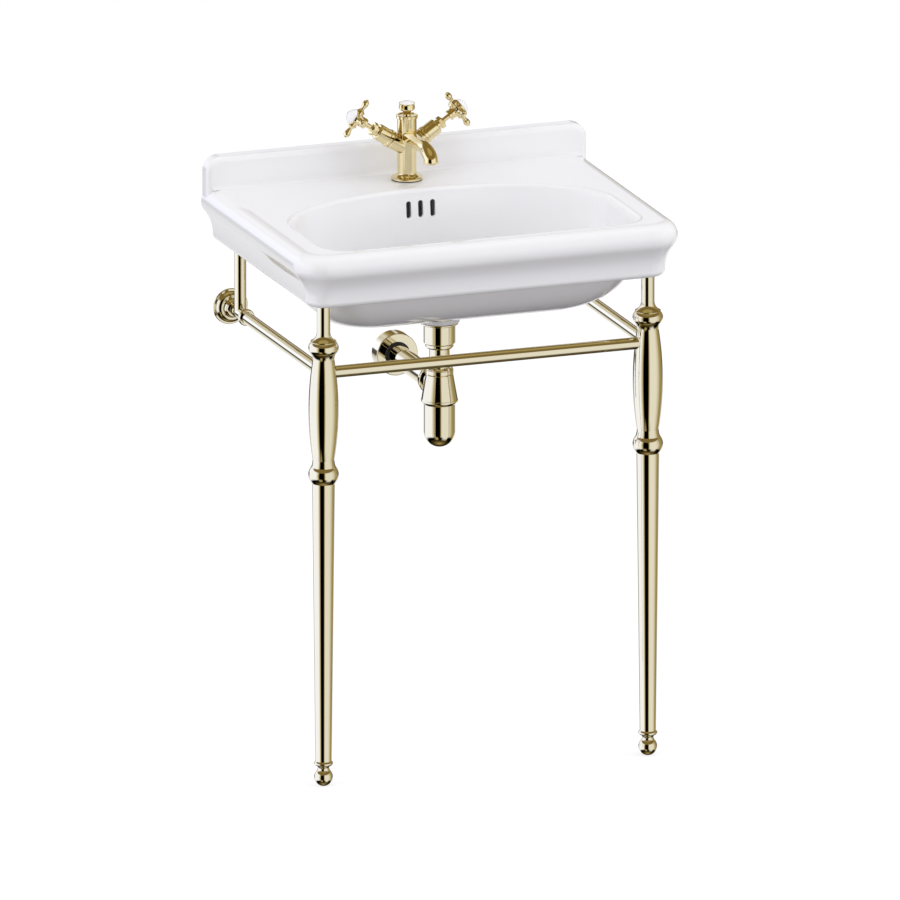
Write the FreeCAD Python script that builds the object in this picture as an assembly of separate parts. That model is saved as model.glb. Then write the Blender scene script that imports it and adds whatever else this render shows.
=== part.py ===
import FreeCAD, Part
import math
import os
from FreeCAD import Vector

# Console washbasin on a two-legged stand, with a cross-handle mixer, a pop-up
# waste and a bottle trap.
# Frame: +Z up, +Y towards the wall, -Y the user's side. The origin is on the
# floor, midway between the legs and midway between the wall and the front rim.
# All sizes are in millimetres. "from the wall" means measured along -Y.

# ---------------------------------------------------------------- clearances
SLIP = 0.05             # radial running clearance of a shaft in its bore
FIT = 0.15              # clearance of a part pushed into a socket
GAP = 0.3               # gap between two bodies that move past each other

# --------------------------------------------------------------------- basin
BASIN_WIDTH = 650.0
BASIN_DEPTH = 485.0
DECK_HEIGHT = 885.0     # flat top of the rim above the floor
DECK_THICKNESS = 13.0
CHINA_WALL = 12.0
APRON_DROP = 90.0       # deck down to the bottom edge of the apron
APRON_EDGE_RADIUS = 10.0
ROLL_RADIUS = 24.0      # rolled outer edge of the rim
ROLL_ANGLE = 40.0       # how far below level the roll turns into the cove
COVE_RADIUS = 62.0
FRONT_CORNER_RADIUS = 53.0
UPSTAND_HEIGHT = 52.0
UPSTAND_THICKNESS = 25.0
UPSTAND_CORNER_RADIUS = 24.0
UPSTAND_EDGE_RADIUS = 9.0
UPSTAND_END_INSET = 2.0
UPSTAND_COVE_RADIUS = 6.0

BOWL_SIDE_MARGIN = 52.0   # rim edge to the bowl opening
BOWL_FRONT_MARGIN = 36.5
BOWL_REAR = 131.5         # rear of the bowl opening, from the wall
BOWL_WIDEST = 285.0       # where the bowl is widest, from the wall
BOWL_PLAN_CORNER = 45.0
BOWL_DEPTH = 157.0
BOWL_LIP_RADIUS = 6.0
SIDE_DRAFT, SIDE_HOLLOW = 13.0, 90.0      # wall slope in degrees, radius into the floor
FRONT_DRAFT, FRONT_HOLLOW = 13.0, 143.0
REAR_DRAFT, REAR_HOLLOW = 4.0, 50.0
BOWL_SECTIONS = 9

OVERFLOW_DROP = 33.0      # deck to the middle of the overflow slots
OVERFLOW_SLOTS = 3
OVERFLOW_PITCH = 20.4
OVERFLOW_WIDTH = 8.8
OVERFLOW_LENGTH = 28.0
DUCT_DEPTH = 10.0
DUCT_SKIN = 8.0

WALL_HOLE_SPACING = 280.0
WALL_HOLE_RADIUS = 7.0
WALL_HOLE_DROP = 50.0     # deck to the wall fixing holes

# --------------------------------------------------------------------- stand
LEG_SIDE_INSET = 49.25    # leg axis in from the rim edge
LEG_FRONT_INSET = 48.0
REAR_POST_FROM_WALL = 48.0
TUBE_RADIUS = 9.8         # rails and tees
TUBE_WALL = 1.5
POST_RADIUS = 10.8        # plain post above each baluster
REAR_POST_RADIUS = 9.6    # a little under the tee's, so the coped foot closes on it
RAIL_DROP = 202.0         # deck to the axes of the rails
SOCKET_FLOOR = 12.5       # rail end to the leg axis
SUPPORT_DROP = 63.0       # deck to the underside of the support bosses
SUPPORT_RADIUS = 20.0
PAD_RADIUS = 12.0
PAD_THICKNESS = 4.0
LEVEL_SCREW_RADIUS = 5.0
LEVEL_SCREW_HEAD = 8.0    # radius of its hexagon head, at the corners
LEVEL_HEAD_THICKNESS = 6.0
LEVEL_SCREW_GRIP = 22.0
LEVEL_SCREW_OUT = 6.0

BALUSTER_DROP = 184.0     # rail axis to where the tapered leg meets the turned baluster
BALUSTER_SPIGOT = 20.0
# Turned outline of the baluster as (radius, height above its foot). A third
# entry marks the middle of a round stretch.
BALUSTER_OUTLINE = [(18.3, 0), (18.5, 2), (24.4, 16, True), (19.6, 29), (18.2, 34, True), (17.6, 41),
                    (24.1, 122, True), (17.5, 206), (18.3, 211, True), (20.4, 216.5),
                    (24.4, 226.5, True), (19.8, 235.5), (20.8, 237), (14.2, 242, True),
                    (POST_RADIUS, 250)]
FOOT_TOP = 41.0
FOOT_BALL_RADIUS = 15.0
FOOT_FLAT_RADIUS = 4.0
LEG_FOOT_RADIUS = 13.0
LEG_TOP_RADIUS = 18.3
LEG_WALL = 2.0
LEG_PLUG = 18.0
FOOT_STUD_RADIUS = 4.0
FOOT_STUD_LENGTH = 14.0

FLANGE_RADIUS = 29.5
FLANGE_PROJECTION = 22.0
WALL_PLATE_RADIUS = 20.0
WALL_PLATE_THICKNESS = 3.0
WALL_PLATE_HOLE_RADIUS = 2.25
WALL_PLATE_HOLE_SPACING = 31.0
WALL_PLATE_SPIGOT = 12.0
TEE_END_FROM_WALL = 80.0
TEE_COLLAR_RADIUS = 13.8
TEE_COLLAR_LENGTH = 8.0
GRUB_RADIUS = 2.0

# ----------------------------------------------------------------------- tap
TAP_FROM_WALL = 69.0
TAP_HOLE_RADIUS = 17.5
GASKET_THICKNESS = 1.5
TAP_BASE_RADIUS = 25.8
TAP_BASE_THICKNESS = 4.0
COLUMN_RADIUS = 15.5
COLUMN_TOP = 101.0        # heights in this block are above the deck
COLLAR_RADIUS = 17.3
COLLAR_HEIGHT = 6.0
VALVE_HEIGHT = 49.6       # where the valve arms cross the column axis
VALVE_ANGLE = 34.0        # how far the valve arms rise above level
ARM_RADIUS = 13.2
ARM_END = 34.0            # column axis to the end of a valve arm
ARM_COLLAR = 1.2          # how far the arm's end ring stands out
BONNET_LENGTH = 27.5
BONNET_RADIUS = 13.2
BONNET_RING_RADIUS = 14.6
GLAND_LENGTH = 13.0
GLAND_NECK_RADIUS = 8.6
GLAND_RADIUS = 11.2       # of the eight-sided nut, at its corners
CARTRIDGE_RADIUS = 8.0
CARTRIDGE_DEPTH = 8.0     # how far the cartridge reaches into the arm
DISC_CHAMBER_RADIUS = 6.5
DISC_FLOOR = 4.0          # inner end of the cartridge to the face the disc turns on
VALVE_PORT_RADIUS = 1.6
VALVE_PORT_OFFSET = 3.2
SPINDLE_RADIUS = 4.0
SPINDLE_BARE = 11.0       # spindle seen between the gland nut and the handle
HUB_LENGTH = 26.0
HUB_RADIUS = 8.7
HANDLE_ARM_PLACE = 18.3   # start of the hub to the axes of the four arms
HANDLE_BOSS_RADIUS = 6.6
HANDLE_RING_RADIUS = 7.6
HANDLE_BULB_RADIUS = 5.3
HANDLE_REACH = 35.0
INDEX_RADIUS = 13.2
INDEX_BAND = 1.0
INDEX_DOME = 7.8
SPOUT_HEIGHT = 72.0
SPOUT_REACH = 112.0
SPOUT_OUTLET = 54.0
NOZZLE_RADIUS = 11.7
AERATOR_RADIUS = 8.0
AERATOR_LENGTH = 10.0
TAIL_OFFSET_X = 10.0
TAIL_OFFSET_Y = 4.0
TAIL_RADIUS = 4.25
TAIL_DEPTH = 14.0
SHANK_SHORT = 2.0         # underside of the deck up to the end of the shank
GUIDE_LENGTH = 12.0       # close bore for the lift rod, below the column's top
STUD_OFFSET_Y = -10.5
STUD_RADIUS = 3.0
STUD_LENGTH = 60.0
STUD_GRIP = 12.0
CLAMP_RADIUS = 23.0
CLAMP_RUBBER = 2.5
CLAMP_STEEL = 2.0
CLAMP_NUT_HEIGHT = 8.0
CLAMP_NUT_RADIUS = 6.0

# ------------------------------------------------------- lift rod and pop-up
ROD_RADIUS = 2.5
KNOB_TRAVEL = 22.0
COLLAR_RECESS = 1.5
KNOB_NECK_RADIUS = 6.3
KNOB_NECK = 8.6
KNOB_RADIUS = 13.4
KNOB_HEIGHT = 11.6
KNOB_DOME = 4.5
KNOB_RIM = 1.2            # wall round the button's pocket
KNOB_POCKET = 2.0
PIVOT_CLEAR = 0.5         # back nut to the pivot port
PIVOT_FROM_WASTE = 40.0
PIVOT_ROD_RADIUS = 2.0
PIVOT_BALL_RADIUS = 5.0
PIVOT_PORT_RADIUS = 8.5
PIVOT_PORT_LIP = 1.0      # centre of the ball to the end of its port
PIVOT_NUT_RADIUS = 11.0
STRAP_WIDTH = 12.0
STRAP_THICKNESS = 1.6
STRAP_HOLE_RADIUS = 3.0
STRAP_ABOVE, STRAP_BELOW = 60.0, 18.0
STRAP_HOLE_PITCH = 11.0
CLAMP_BLOCK = 12.0        # block on the strap that grips the lift rod
CLAMP_BLOCK_LIFT = 3.0    # lower end of the lift rod to the block
CLAMP_SCREW_RADIUS = 2.0
LIFT_ROD_ABOVE_PIVOT = 22.0

# --------------------------------------------------------------------- waste
BOSS_RADIUS = 32.5
BOSS_DROP = 39.0          # bowl floor to the underside of the china boss
WASTE_SETBACK = 31.9      # foot of the bowl's rear curve to the waste's axis
WASTE_HOLE_RADIUS = 23.0
WASTE_FLANGE_RADIUS = 31.5
WASTE_FLANGE_THICKNESS = 3.0
WASTE_SEAL = 1.5
WASTE_TUBE_RADIUS = 21.0
WASTE_BORE_RADIUS = 17.0
WASTE_TUBE_GRIP = 6.0     # length screwed into the tailpipe's collar
WASTE_WINDOW_WIDTH = 18.0
WASTE_WINDOW_HEIGHT = 10.0
BACKNUT_RADIUS = 30.5
BACKNUT_FLANGE = 3.0
BACKNUT_HUB_RADIUS = 24.0
BACKNUT_HEIGHT = 6.5
SHROUD_RADIUS = 25.5
SHROUD_LIP = 10.5         # pivot port to the bottom of the shroud
PLUG_RADIUS = 29.0
PLUG_STEM_RADIUS = 3.0
PLUG_VANE_THICKNESS = 1.6
PLUG_VANE_LENGTH = 32.0
PLUG_DOME = 3.8
PLUG_SEAL_LIFT = 0.8
SEAT_OUTER_RADIUS = 28.5  # dished seat that the plug's seal closes on
SEAT_INNER_RADIUS = 20.0
SEAT_DEPTH = 2.0
TAILPIPE_RADIUS = 16.5
TAILPIPE_COLLAR_RADIUS = 22.7
TAILPIPE_COLLAR_FLOOR = 2.0

# --------------------------------------------------------------- bottle trap
TRAP_DROP = 45.0          # bottom of the waste tube to the top of the bell
TRAP_NUT_HEIGHT = 11.0
TRAP_NUT_RADIUS = 22.5
TRAP_BELL_HEIGHT = 49.5
TRAP_BELL_RADIUS = 29.7
TRAP_CUP_RADIUS = 25.2
TRAP_CUP_HEIGHT = 71.5
TRAP_WALL = 2.5
DIP_TUBE_REACH = 37.5     # how far the dip tube reaches below the bell
OUTLET_DROP = 19.0        # top of the bell to the outlet's axis
OUTLET_PIPE_RADIUS = 17.5
OUTLET_NUT_START = 29.6   # from the trap's axis
OUTLET_NUT_LENGTH = 13.0
OUTLET_NUT_RADIUS = 23.5
OUTLET_STUB_WALL = 2.0    # of the trap's socket that the pipe slides into
OUTLET_NUT_LIP = 4.0
OUTLET_WAY_RADIUS = 12.0
OUTLET_PIPE_START = 24.0
OUTLET_FLANGE_RADIUS = 34.8
OUTLET_FLANGE_DEPTH = 25.0
OUTLET_RING_RADIUS = 21.0
OUTLET_RING_DEPTH = 3.0

# ------------------------------------------------------------ derived places
WALL_Y = BASIN_DEPTH / 2
FRONT_Y = -BASIN_DEPTH / 2
HALF_WIDTH = BASIN_WIDTH / 2
APRON_BOTTOM = DECK_HEIGHT - APRON_DROP
LEG_X = HALF_WIDTH - LEG_SIDE_INSET
LEG_Y = FRONT_Y + LEG_FRONT_INSET
REAR_POST_Y = WALL_Y - REAR_POST_FROM_WALL
TAP_Y = WALL_Y - TAP_FROM_WALL
SHANK_BOTTOM = SHANK_SHORT - DECK_THICKNESS     # above the deck, as the tap's other heights
BOWL_HEEL = (BOWL_REAR + (BOWL_DEPTH - REAR_HOLLOW) * math.tan(math.radians(REAR_DRAFT))
             + REAR_HOLLOW / math.cos(math.radians(REAR_DRAFT)))
WASTE_Y = WALL_Y - BOWL_HEEL - WASTE_SETBACK
RAIL_HEIGHT = DECK_HEIGHT - RAIL_DROP
BALUSTER_FOOT = RAIL_HEIGHT - BALUSTER_DROP
SUPPORT_Z = DECK_HEIGHT - SUPPORT_DROP
POST_TOP = SUPPORT_Z - PAD_THICKNESS - LEVEL_HEAD_THICKNESS - LEVEL_SCREW_OUT
BOWL_FLOOR = DECK_HEIGHT - BOWL_DEPTH
BOSS_BOTTOM = BOWL_FLOOR - BOSS_DROP
PIVOT_HEIGHT = BOSS_BOTTOM - WASTE_SEAL - BACKNUT_HEIGHT - PIVOT_CLEAR - PIVOT_PORT_RADIUS
SHROUD_BOTTOM = PIVOT_HEIGHT - PIVOT_PORT_RADIUS - SHROUD_LIP
WASTE_TUBE_BOTTOM = SHROUD_BOTTOM - WASTE_TUBE_GRIP
TRAP_TOP = WASTE_TUBE_BOTTOM - TRAP_DROP
TRAP_NUT_TOP = TRAP_TOP + TRAP_NUT_HEIGHT
TRAP_SEAM = TRAP_TOP - TRAP_BELL_HEIGHT
TRAP_BOTTOM = TRAP_SEAM - TRAP_CUP_HEIGHT
DIP_TUBE_BOTTOM = TRAP_SEAM - DIP_TUBE_REACH
OUTLET_HEIGHT = TRAP_TOP - OUTLET_DROP
PIVOT_Y = WASTE_Y + PIVOT_FROM_WASTE
STRAP_Y = TAP_Y + ROD_RADIUS + GAP + STRAP_THICKNESS / 2
PIVOT_ARM = STRAP_Y - PIVOT_Y
PIVOT_SWING = math.degrees(KNOB_TRAVEL / PIVOT_ARM)
PLUG_TRAVEL = PIVOT_FROM_WASTE * KNOB_TRAVEL / PIVOT_ARM
PLUG_FLOOR = BOWL_FLOOR + PLUG_TRAVEL + GAP
KNOB_BASE = COLUMN_TOP + COLLAR_HEIGHT - COLLAR_RECESS + GAP
BONNET_END = ARM_END + BONNET_LENGTH
GLAND_END = BONNET_END + GLAND_LENGTH
CARTRIDGE_START = ARM_END - CARTRIDGE_DEPTH
HUB_START = GLAND_END + SPINDLE_BARE
HANDLE_CENTRE = HUB_START + HANDLE_ARM_PLACE
HUB_END = HUB_START + HUB_LENGTH

X_AXIS, Y_AXIS, Z_AXIS = Vector(1, 0, 0), Vector(0, 1, 0), Vector(0, 0, 1)
SIDES = {"left": -1, "right": 1}


# ------------------------------------------------------------------- helpers
def open_outline(points):
    """Edges in the XZ plane through (x, z) points.

    A point with a third entry is the middle of a round stretch that runs from
    the point before it to the point after it.
    """
    places = [Vector(point[0], 0, point[1]) for point in points]
    edges = []
    index = 0
    while index < len(points) - 1:
        if len(points[index + 1]) == 3:
            edges.append(Part.Arc(*places[index:index + 3]).toShape())
            index += 2
        else:
            edges.append(Part.makeLine(*places[index:index + 2]))
            index += 1
    return edges


def outline(points):
    """Closed wire in the XZ plane through (x, z) points, with round stretches."""
    return Part.Wire(open_outline(points + points[:1]))


def turned(points):
    """Solid of revolution about Z from a closed (radius, height) outline."""
    return Part.Face(outline(points)).revolve(Vector(), Z_AXIS, 360)


def bulge(start, end, rise):
    """Middle point of a round stretch that swells outward by rise."""
    length = math.hypot(end[0] - start[0], end[1] - start[1])
    side_x = (end[1] - start[1]) / length
    side_z = -(end[0] - start[0]) / length
    return ((start[0] + end[0]) / 2 + side_x * rise, (start[1] + end[1]) / 2 + side_z * rise, True)


def dome_middle(radius, base, rise):
    """Middle point of a spherical cap that runs from a rim in to the axis."""
    sphere = (radius ** 2 + rise ** 2) / (2 * rise)
    half_turn = math.asin(radius / sphere) / 2
    return (sphere * math.sin(half_turn), base + rise - sphere * (1 - math.cos(half_turn)), True)


def tube(outer, inner, bottom, top):
    """Ring-shaped sleeve about Z."""
    return turned([(inner, bottom), (outer, bottom), (outer, top), (inner, top)])


def rod(radius, bottom, top, x=0, y=0):
    """Plain cylinder parallel to Z."""
    return Part.makeCylinder(radius, top - bottom, Vector(x, y, bottom))


def hexagon(corner_radius, bottom, top, sides=6):
    """Nut-shaped prism about Z."""
    corners = [Vector(corner_radius * math.cos(2 * math.pi * k / sides),
                      corner_radius * math.sin(2 * math.pi * k / sides), bottom)
               for k in range(sides + 1)]
    return Part.Face(Part.makePolygon(corners)).extrude(Vector(0, 0, top - bottom))


def box(low, high):
    """Box between two opposite corners."""
    return Part.makeBox(high[0] - low[0], high[1] - low[1], high[2] - low[2], Vector(*low))


def moved(shape, x=0, y=0, z=0):
    """Copy of a shape shifted by x, y, z."""
    copy = shape.copy()
    copy.translate(Vector(x, y, z))
    return copy


def aimed(shape, direction, at):
    """Copy of a shape made about Z, with its +Z turned to a direction and set at a point."""
    copy = shape.copy()
    turn = FreeCAD.Rotation(Z_AXIS, direction)
    copy.Placement = FreeCAD.Placement(at, turn).multiply(copy.Placement)
    return copy


def mirrored(shape):
    """Mirror image across the centre plane X = 0."""
    return shape.mirror(Vector(), X_AXIS)


def sided(shape, side):
    """The shape for the right side, or its mirror image for the left side."""
    return shape if SIDES[side] > 0 else mirrored(shape)


def joined(shapes):
    """One clean solid out of touching or overlapping solids."""
    return shapes[0].multiFuse(shapes[1:]).removeSplitter()


def save(name, shape):
    """Write one node, which may hold several separate solids."""
    solids = shape.Solids
    result = solids[0] if len(solids) == 1 else Part.makeCompound(solids)
    result.exportStep("parts/" + name + ".step")


# --------------------------------------------------------------------- basin
def rim_profile():
    """Face of the rolled rim, cove and apron at the right side, in the XZ plane."""
    roll_z = DECK_HEIGHT - ROLL_RADIUS
    angle = math.radians(ROLL_ANGLE)

    def on_roll(turn):
        return (HALF_WIDTH - ROLL_RADIUS + ROLL_RADIUS * math.cos(turn),
                roll_z + ROLL_RADIUS * math.sin(turn))

    join_x, join_z = on_roll(-angle)
    cove_x = join_x + COVE_RADIUS * math.cos(angle)
    cove_z = join_z - COVE_RADIUS * math.sin(angle)
    apron_x = cove_x - COVE_RADIUS
    cove_middle = (cove_x - COVE_RADIUS * math.cos(angle / 2),
                   cove_z + COVE_RADIUS * math.sin(angle / 2), True)
    edge = APRON_EDGE_RADIUS
    inner_x = HALF_WIDTH - FRONT_CORNER_RADIUS
    roll_middle = on_roll((math.pi / 2 - angle) / 2) + (True,)
    edge_middle = (apron_x - edge + edge * math.sqrt(0.5),
                   APRON_BOTTOM + edge - edge * math.sqrt(0.5), True)
    points = [(inner_x, DECK_HEIGHT), (HALF_WIDTH - ROLL_RADIUS, DECK_HEIGHT), roll_middle,
              (join_x, join_z), cove_middle, (apron_x, cove_z),
              (apron_x, APRON_BOTTOM + edge), edge_middle, (apron_x - edge, APRON_BOTTOM),
              (inner_x, APRON_BOTTOM)]
    return Part.Face(outline(points)), HALF_WIDTH - apron_x


def rim_block():
    """Solid block with the moulded edge run round the front and both sides."""
    profile, apron_inset = rim_profile()
    corner_y = FRONT_Y + FRONT_CORNER_RADIUS
    inner_x = HALF_WIDTH - FRONT_CORNER_RADIUS
    profile.translate(Vector(0, corner_y, 0))
    side = profile.extrude(Vector(0, WALL_Y - corner_y, 0))
    corner = profile.revolve(Vector(inner_x, corner_y, 0), Z_AXIS, -90)
    front_face = profile.copy()
    front_face.rotate(Vector(inner_x, corner_y, 0), Z_AXIS, -90)
    front = front_face.extrude(Vector(-2 * inner_x, 0, 0))
    core = box((-inner_x, corner_y, APRON_BOTTOM), (inner_x, WALL_Y, DECK_HEIGHT))
    return joined([core, side, mirrored(side), corner, mirrored(corner), front]), apron_inset


def underside_hollow(apron_inset):
    """Open space under the deck, behind the apron and in front of the back panel."""
    inset = apron_inset + CHINA_WALL
    radius = FRONT_CORNER_RADIUS - inset
    block = box((-HALF_WIDTH + inset, FRONT_Y + inset, APRON_BOTTOM - 1),
                (HALF_WIDTH - inset, WALL_Y - CHINA_WALL, DECK_HEIGHT - DECK_THICKNESS))
    corners = [edge for edge in block.Edges
               if edge.BoundBox.ZLength > 1 and edge.BoundBox.YMax < 0]
    return block.makeFillet(radius, corners)


def wall_inset(depth, draft, hollow, wall):
    """How far a bowl wall has come in at a depth below the deck.

    The wall is straight at its draft angle, then turns into the floor on an
    arc. A wall thickness moves the line out and widens the arc about its centre.
    """
    slope = math.radians(draft)
    centre_depth = BOWL_DEPTH - hollow
    centre_inset = centre_depth * math.tan(slope) + hollow / math.cos(slope)
    radius = hollow + wall
    if depth < centre_depth + radius * math.sin(slope):
        return depth * math.tan(slope) - wall / math.cos(slope)
    return centre_inset - math.sqrt(max(radius ** 2 - (depth - centre_depth) ** 2, 0))


def bowl_section(depth, wall):
    """Level outline of the bowl at a depth: half ellipse behind, round corners in front."""
    half = HALF_WIDTH - BOWL_SIDE_MARGIN - wall_inset(depth, SIDE_DRAFT, SIDE_HOLLOW, wall)
    front_top = BASIN_DEPTH - BOWL_FRONT_MARGIN
    front = front_top - wall_inset(depth, FRONT_DRAFT, FRONT_HOLLOW, wall)
    rear = BOWL_REAR + wall_inset(depth, REAR_DRAFT, REAR_HOLLOW, wall)
    share = (BOWL_WIDEST - BOWL_REAR) / (front_top - BOWL_REAR)
    middle = WALL_Y - rear - share * (front - rear)
    z = DECK_HEIGHT - depth
    front_y, rear_y = WALL_Y - front, WALL_Y - rear
    radius = BOWL_PLAN_CORNER + wall
    bend = radius * (1 - math.sqrt(0.5))
    back = Part.Ellipse(Vector(0, middle, z), half, rear_y - middle)
    edges = [Part.ArcOfEllipse(back, 0, math.pi).toShape(),
             Part.makeLine(Vector(-half, middle, z), Vector(-half, front_y + radius, z)),
             Part.Arc(Vector(-half, front_y + radius, z), Vector(-half + bend, front_y + bend, z),
                      Vector(-half + radius, front_y, z)).toShape(),
             Part.makeLine(Vector(-half + radius, front_y, z), Vector(half - radius, front_y, z)),
             Part.Arc(Vector(half - radius, front_y, z), Vector(half - bend, front_y + bend, z),
                      Vector(half, front_y + radius, z)).toShape(),
             Part.makeLine(Vector(half, front_y + radius, z), Vector(half, middle, z))]
    return Part.Wire(edges)


def bowl_form(wall, top_depth):
    """Lofted body of the bowl from a depth down to the floor, less or plus the wall."""
    lowest = BOWL_DEPTH + wall
    first = math.asin(top_depth / lowest)
    turns = [first + (math.pi / 2 - first) * k / BOWL_SECTIONS for k in range(BOWL_SECTIONS + 1)]
    sections = [bowl_section(lowest * math.sin(turn), wall) for turn in turns]
    return Part.makeLoft(sections, True)


def rear_sheet(near, far, top_depth, forward, half_width):
    """Curved sheet that follows the bowl's rear wall, between two offsets from it."""
    slope = math.radians(REAR_DRAFT)
    centre_depth = BOWL_DEPTH - REAR_HOLLOW
    centre_z = DECK_HEIGHT - centre_depth

    def line_point(depth, offset):
        return (WALL_Y - BOWL_REAR - depth * math.tan(slope) + offset / math.cos(slope),
                DECK_HEIGHT - depth)

    def arc_point(offset, turn):
        radius = REAR_HOLLOW + offset
        return (WALL_Y - BOWL_HEEL + radius * math.cos(turn),
                centre_z - radius * math.sin(turn))

    middle = (slope + math.pi / 2) / 2
    floor = math.pi / 2
    end_y = WALL_Y - BOWL_HEEL - forward
    points = [line_point(top_depth, far), arc_point(far, slope), arc_point(far, middle) + (True,),
              arc_point(far, floor), (end_y, arc_point(far, floor)[1]),
              (end_y, arc_point(near, floor)[1]), arc_point(near, floor),
              arc_point(near, middle) + (True,), arc_point(near, slope),
              line_point(top_depth, near)]
    face = Part.Face(outline(points))
    face.rotate(Vector(), Z_AXIS, 90)
    face.translate(Vector(half_width, 0, 0))
    return face.extrude(Vector(-2 * half_width, 0, 0))


def slot_cutter():
    """One round-ended overflow slot, cut from the bowl into the duct."""
    start_y = WALL_Y - BOWL_REAR - CHINA_WALL
    length = CHINA_WALL + DUCT_SKIN + DUCT_DEPTH / 2
    radius = OVERFLOW_WIDTH / 2
    middle_z = DECK_HEIGHT - OVERFLOW_DROP
    half = OVERFLOW_LENGTH / 2 - radius
    ends = [Part.makeCylinder(radius, length, Vector(0, start_y, middle_z + side * half), Y_AXIS)
            for side in (-1, 1)]
    middle = box((-radius, start_y, middle_z - half), (radius, start_y + length, middle_z + half))
    return joined([middle] + ends)


def upstand():
    """Splashback strip along the wall, with rounded top corners and edges."""
    half = HALF_WIDTH - UPSTAND_END_INSET
    top = DECK_HEIGHT + UPSTAND_HEIGHT
    low = DECK_HEIGHT - ROLL_RADIUS
    block = box((-half, WALL_Y - UPSTAND_THICKNESS, low), (half, WALL_Y, top))
    corners = [edge for edge in block.Edges
               if edge.BoundBox.YLength > 1 and edge.BoundBox.ZMin > DECK_HEIGHT]
    block = block.makeFillet(UPSTAND_CORNER_RADIUS, corners)
    front_y = WALL_Y - UPSTAND_THICKNESS
    rounded = [edge for edge in block.Edges
               if abs(edge.BoundBox.YMax - front_y) < 0.01 and edge.BoundBox.ZMax > low + 1]
    block = block.makeFillet(UPSTAND_EDGE_RADIUS, rounded)
    cove = UPSTAND_COVE_RADIUS
    bend = cove * (1 - math.sqrt(0.5))
    strip_half = half - UPSTAND_EDGE_RADIUS
    points = [(front_y, DECK_HEIGHT), (front_y - cove, DECK_HEIGHT),
              (front_y - bend, DECK_HEIGHT + bend, True), (front_y, DECK_HEIGHT + cove)]
    face = Part.Face(outline(points))
    face.rotate(Vector(), Z_AXIS, 90)
    face.translate(Vector(strip_half, 0, 0))
    return joined([block, face.extrude(Vector(-2 * strip_half, 0, 0))])


def basin():
    """The whole china casting."""
    block, apron_inset = rim_block()
    shell = block.cut(underside_hollow(apron_inset))
    deck_under = DECK_HEIGHT - DECK_THICKNESS
    supports = [rod(SUPPORT_RADIUS, SUPPORT_Z, deck_under, side * LEG_X, y)
                for side in SIDES.values() for y in (LEG_Y, REAR_POST_Y)]
    boss = rod(BOSS_RADIUS, BOSS_BOTTOM, BOWL_FLOOR, 0, WASTE_Y)
    half_duct = (OVERFLOW_SLOTS - 1) * OVERFLOW_PITCH / 2 + OVERFLOW_WIDTH / 2 + 1
    duct_far = DUCT_SKIN + 2 + DUCT_DEPTH
    duct = rear_sheet(DUCT_SKIN, duct_far + DUCT_SKIN, DECK_THICKNESS / 2,
                      WASTE_HOLE_RADIUS / 2, half_duct + DUCT_SKIN)
    outer = bowl_form(CHINA_WALL, DECK_THICKNESS / 2)
    china = joined([shell, outer, boss, duct, upstand()] + supports)
    china = china.cut(bowl_form(0, 0))

    waste_hole = rod(WASTE_HOLE_RADIUS, BOSS_BOTTOM - 1, BOWL_FLOOR + 1, 0, WASTE_Y)
    recess = rod(WASTE_FLANGE_RADIUS + GAP, BOWL_FLOOR - WASTE_FLANGE_THICKNESS - WASTE_SEAL,
                 BOWL_FLOOR + 1, 0, WASTE_Y)
    channel = rear_sheet(DUCT_SKIN + 2, duct_far, OVERFLOW_DROP - OVERFLOW_LENGTH / 2 - 2,
                         WASTE_HOLE_RADIUS, half_duct)
    slots = [moved(slot_cutter(), x=(k - (OVERFLOW_SLOTS - 1) / 2) * OVERFLOW_PITCH)
             for k in range(OVERFLOW_SLOTS)]
    tap_hole = rod(TAP_HOLE_RADIUS, deck_under - 1, DECK_HEIGHT + 1, 0, TAP_Y)
    hole_z = DECK_HEIGHT - WALL_HOLE_DROP
    wall_holes = [Part.makeCylinder(WALL_HOLE_RADIUS, CHINA_WALL + 2,
                                    Vector(side * WALL_HOLE_SPACING / 2, WALL_Y + 1, hole_z), -Y_AXIS)
                  for side in (-1, 1)]
    china = china.cut([waste_hole, recess, channel, tap_hole] + slots + wall_holes)
    opening_y = WALL_Y - BOWL_WIDEST
    lip = [edge for edge in china.Edges
           if edge.BoundBox.ZLength < 0.01 and abs(edge.BoundBox.ZMax - DECK_HEIGHT) < 0.01
           and on_bowl_lip(edge, opening_y)]
    return china.makeFillet(BOWL_LIP_RADIUS, lip)


def on_bowl_lip(edge, opening_y):
    """True for an edge on the bowl's opening, not on the tap hole or the rim."""
    middle = edge.valueAt((edge.FirstParameter + edge.LastParameter) / 2)
    half = HALF_WIDTH - BOWL_SIDE_MARGIN
    inside_x = abs(middle.x) < half + 1
    inside_y = WALL_Y - BASIN_DEPTH + BOWL_FRONT_MARGIN - 1 < middle.y < WALL_Y - BOWL_REAR + 1
    return inside_x and inside_y


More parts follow.
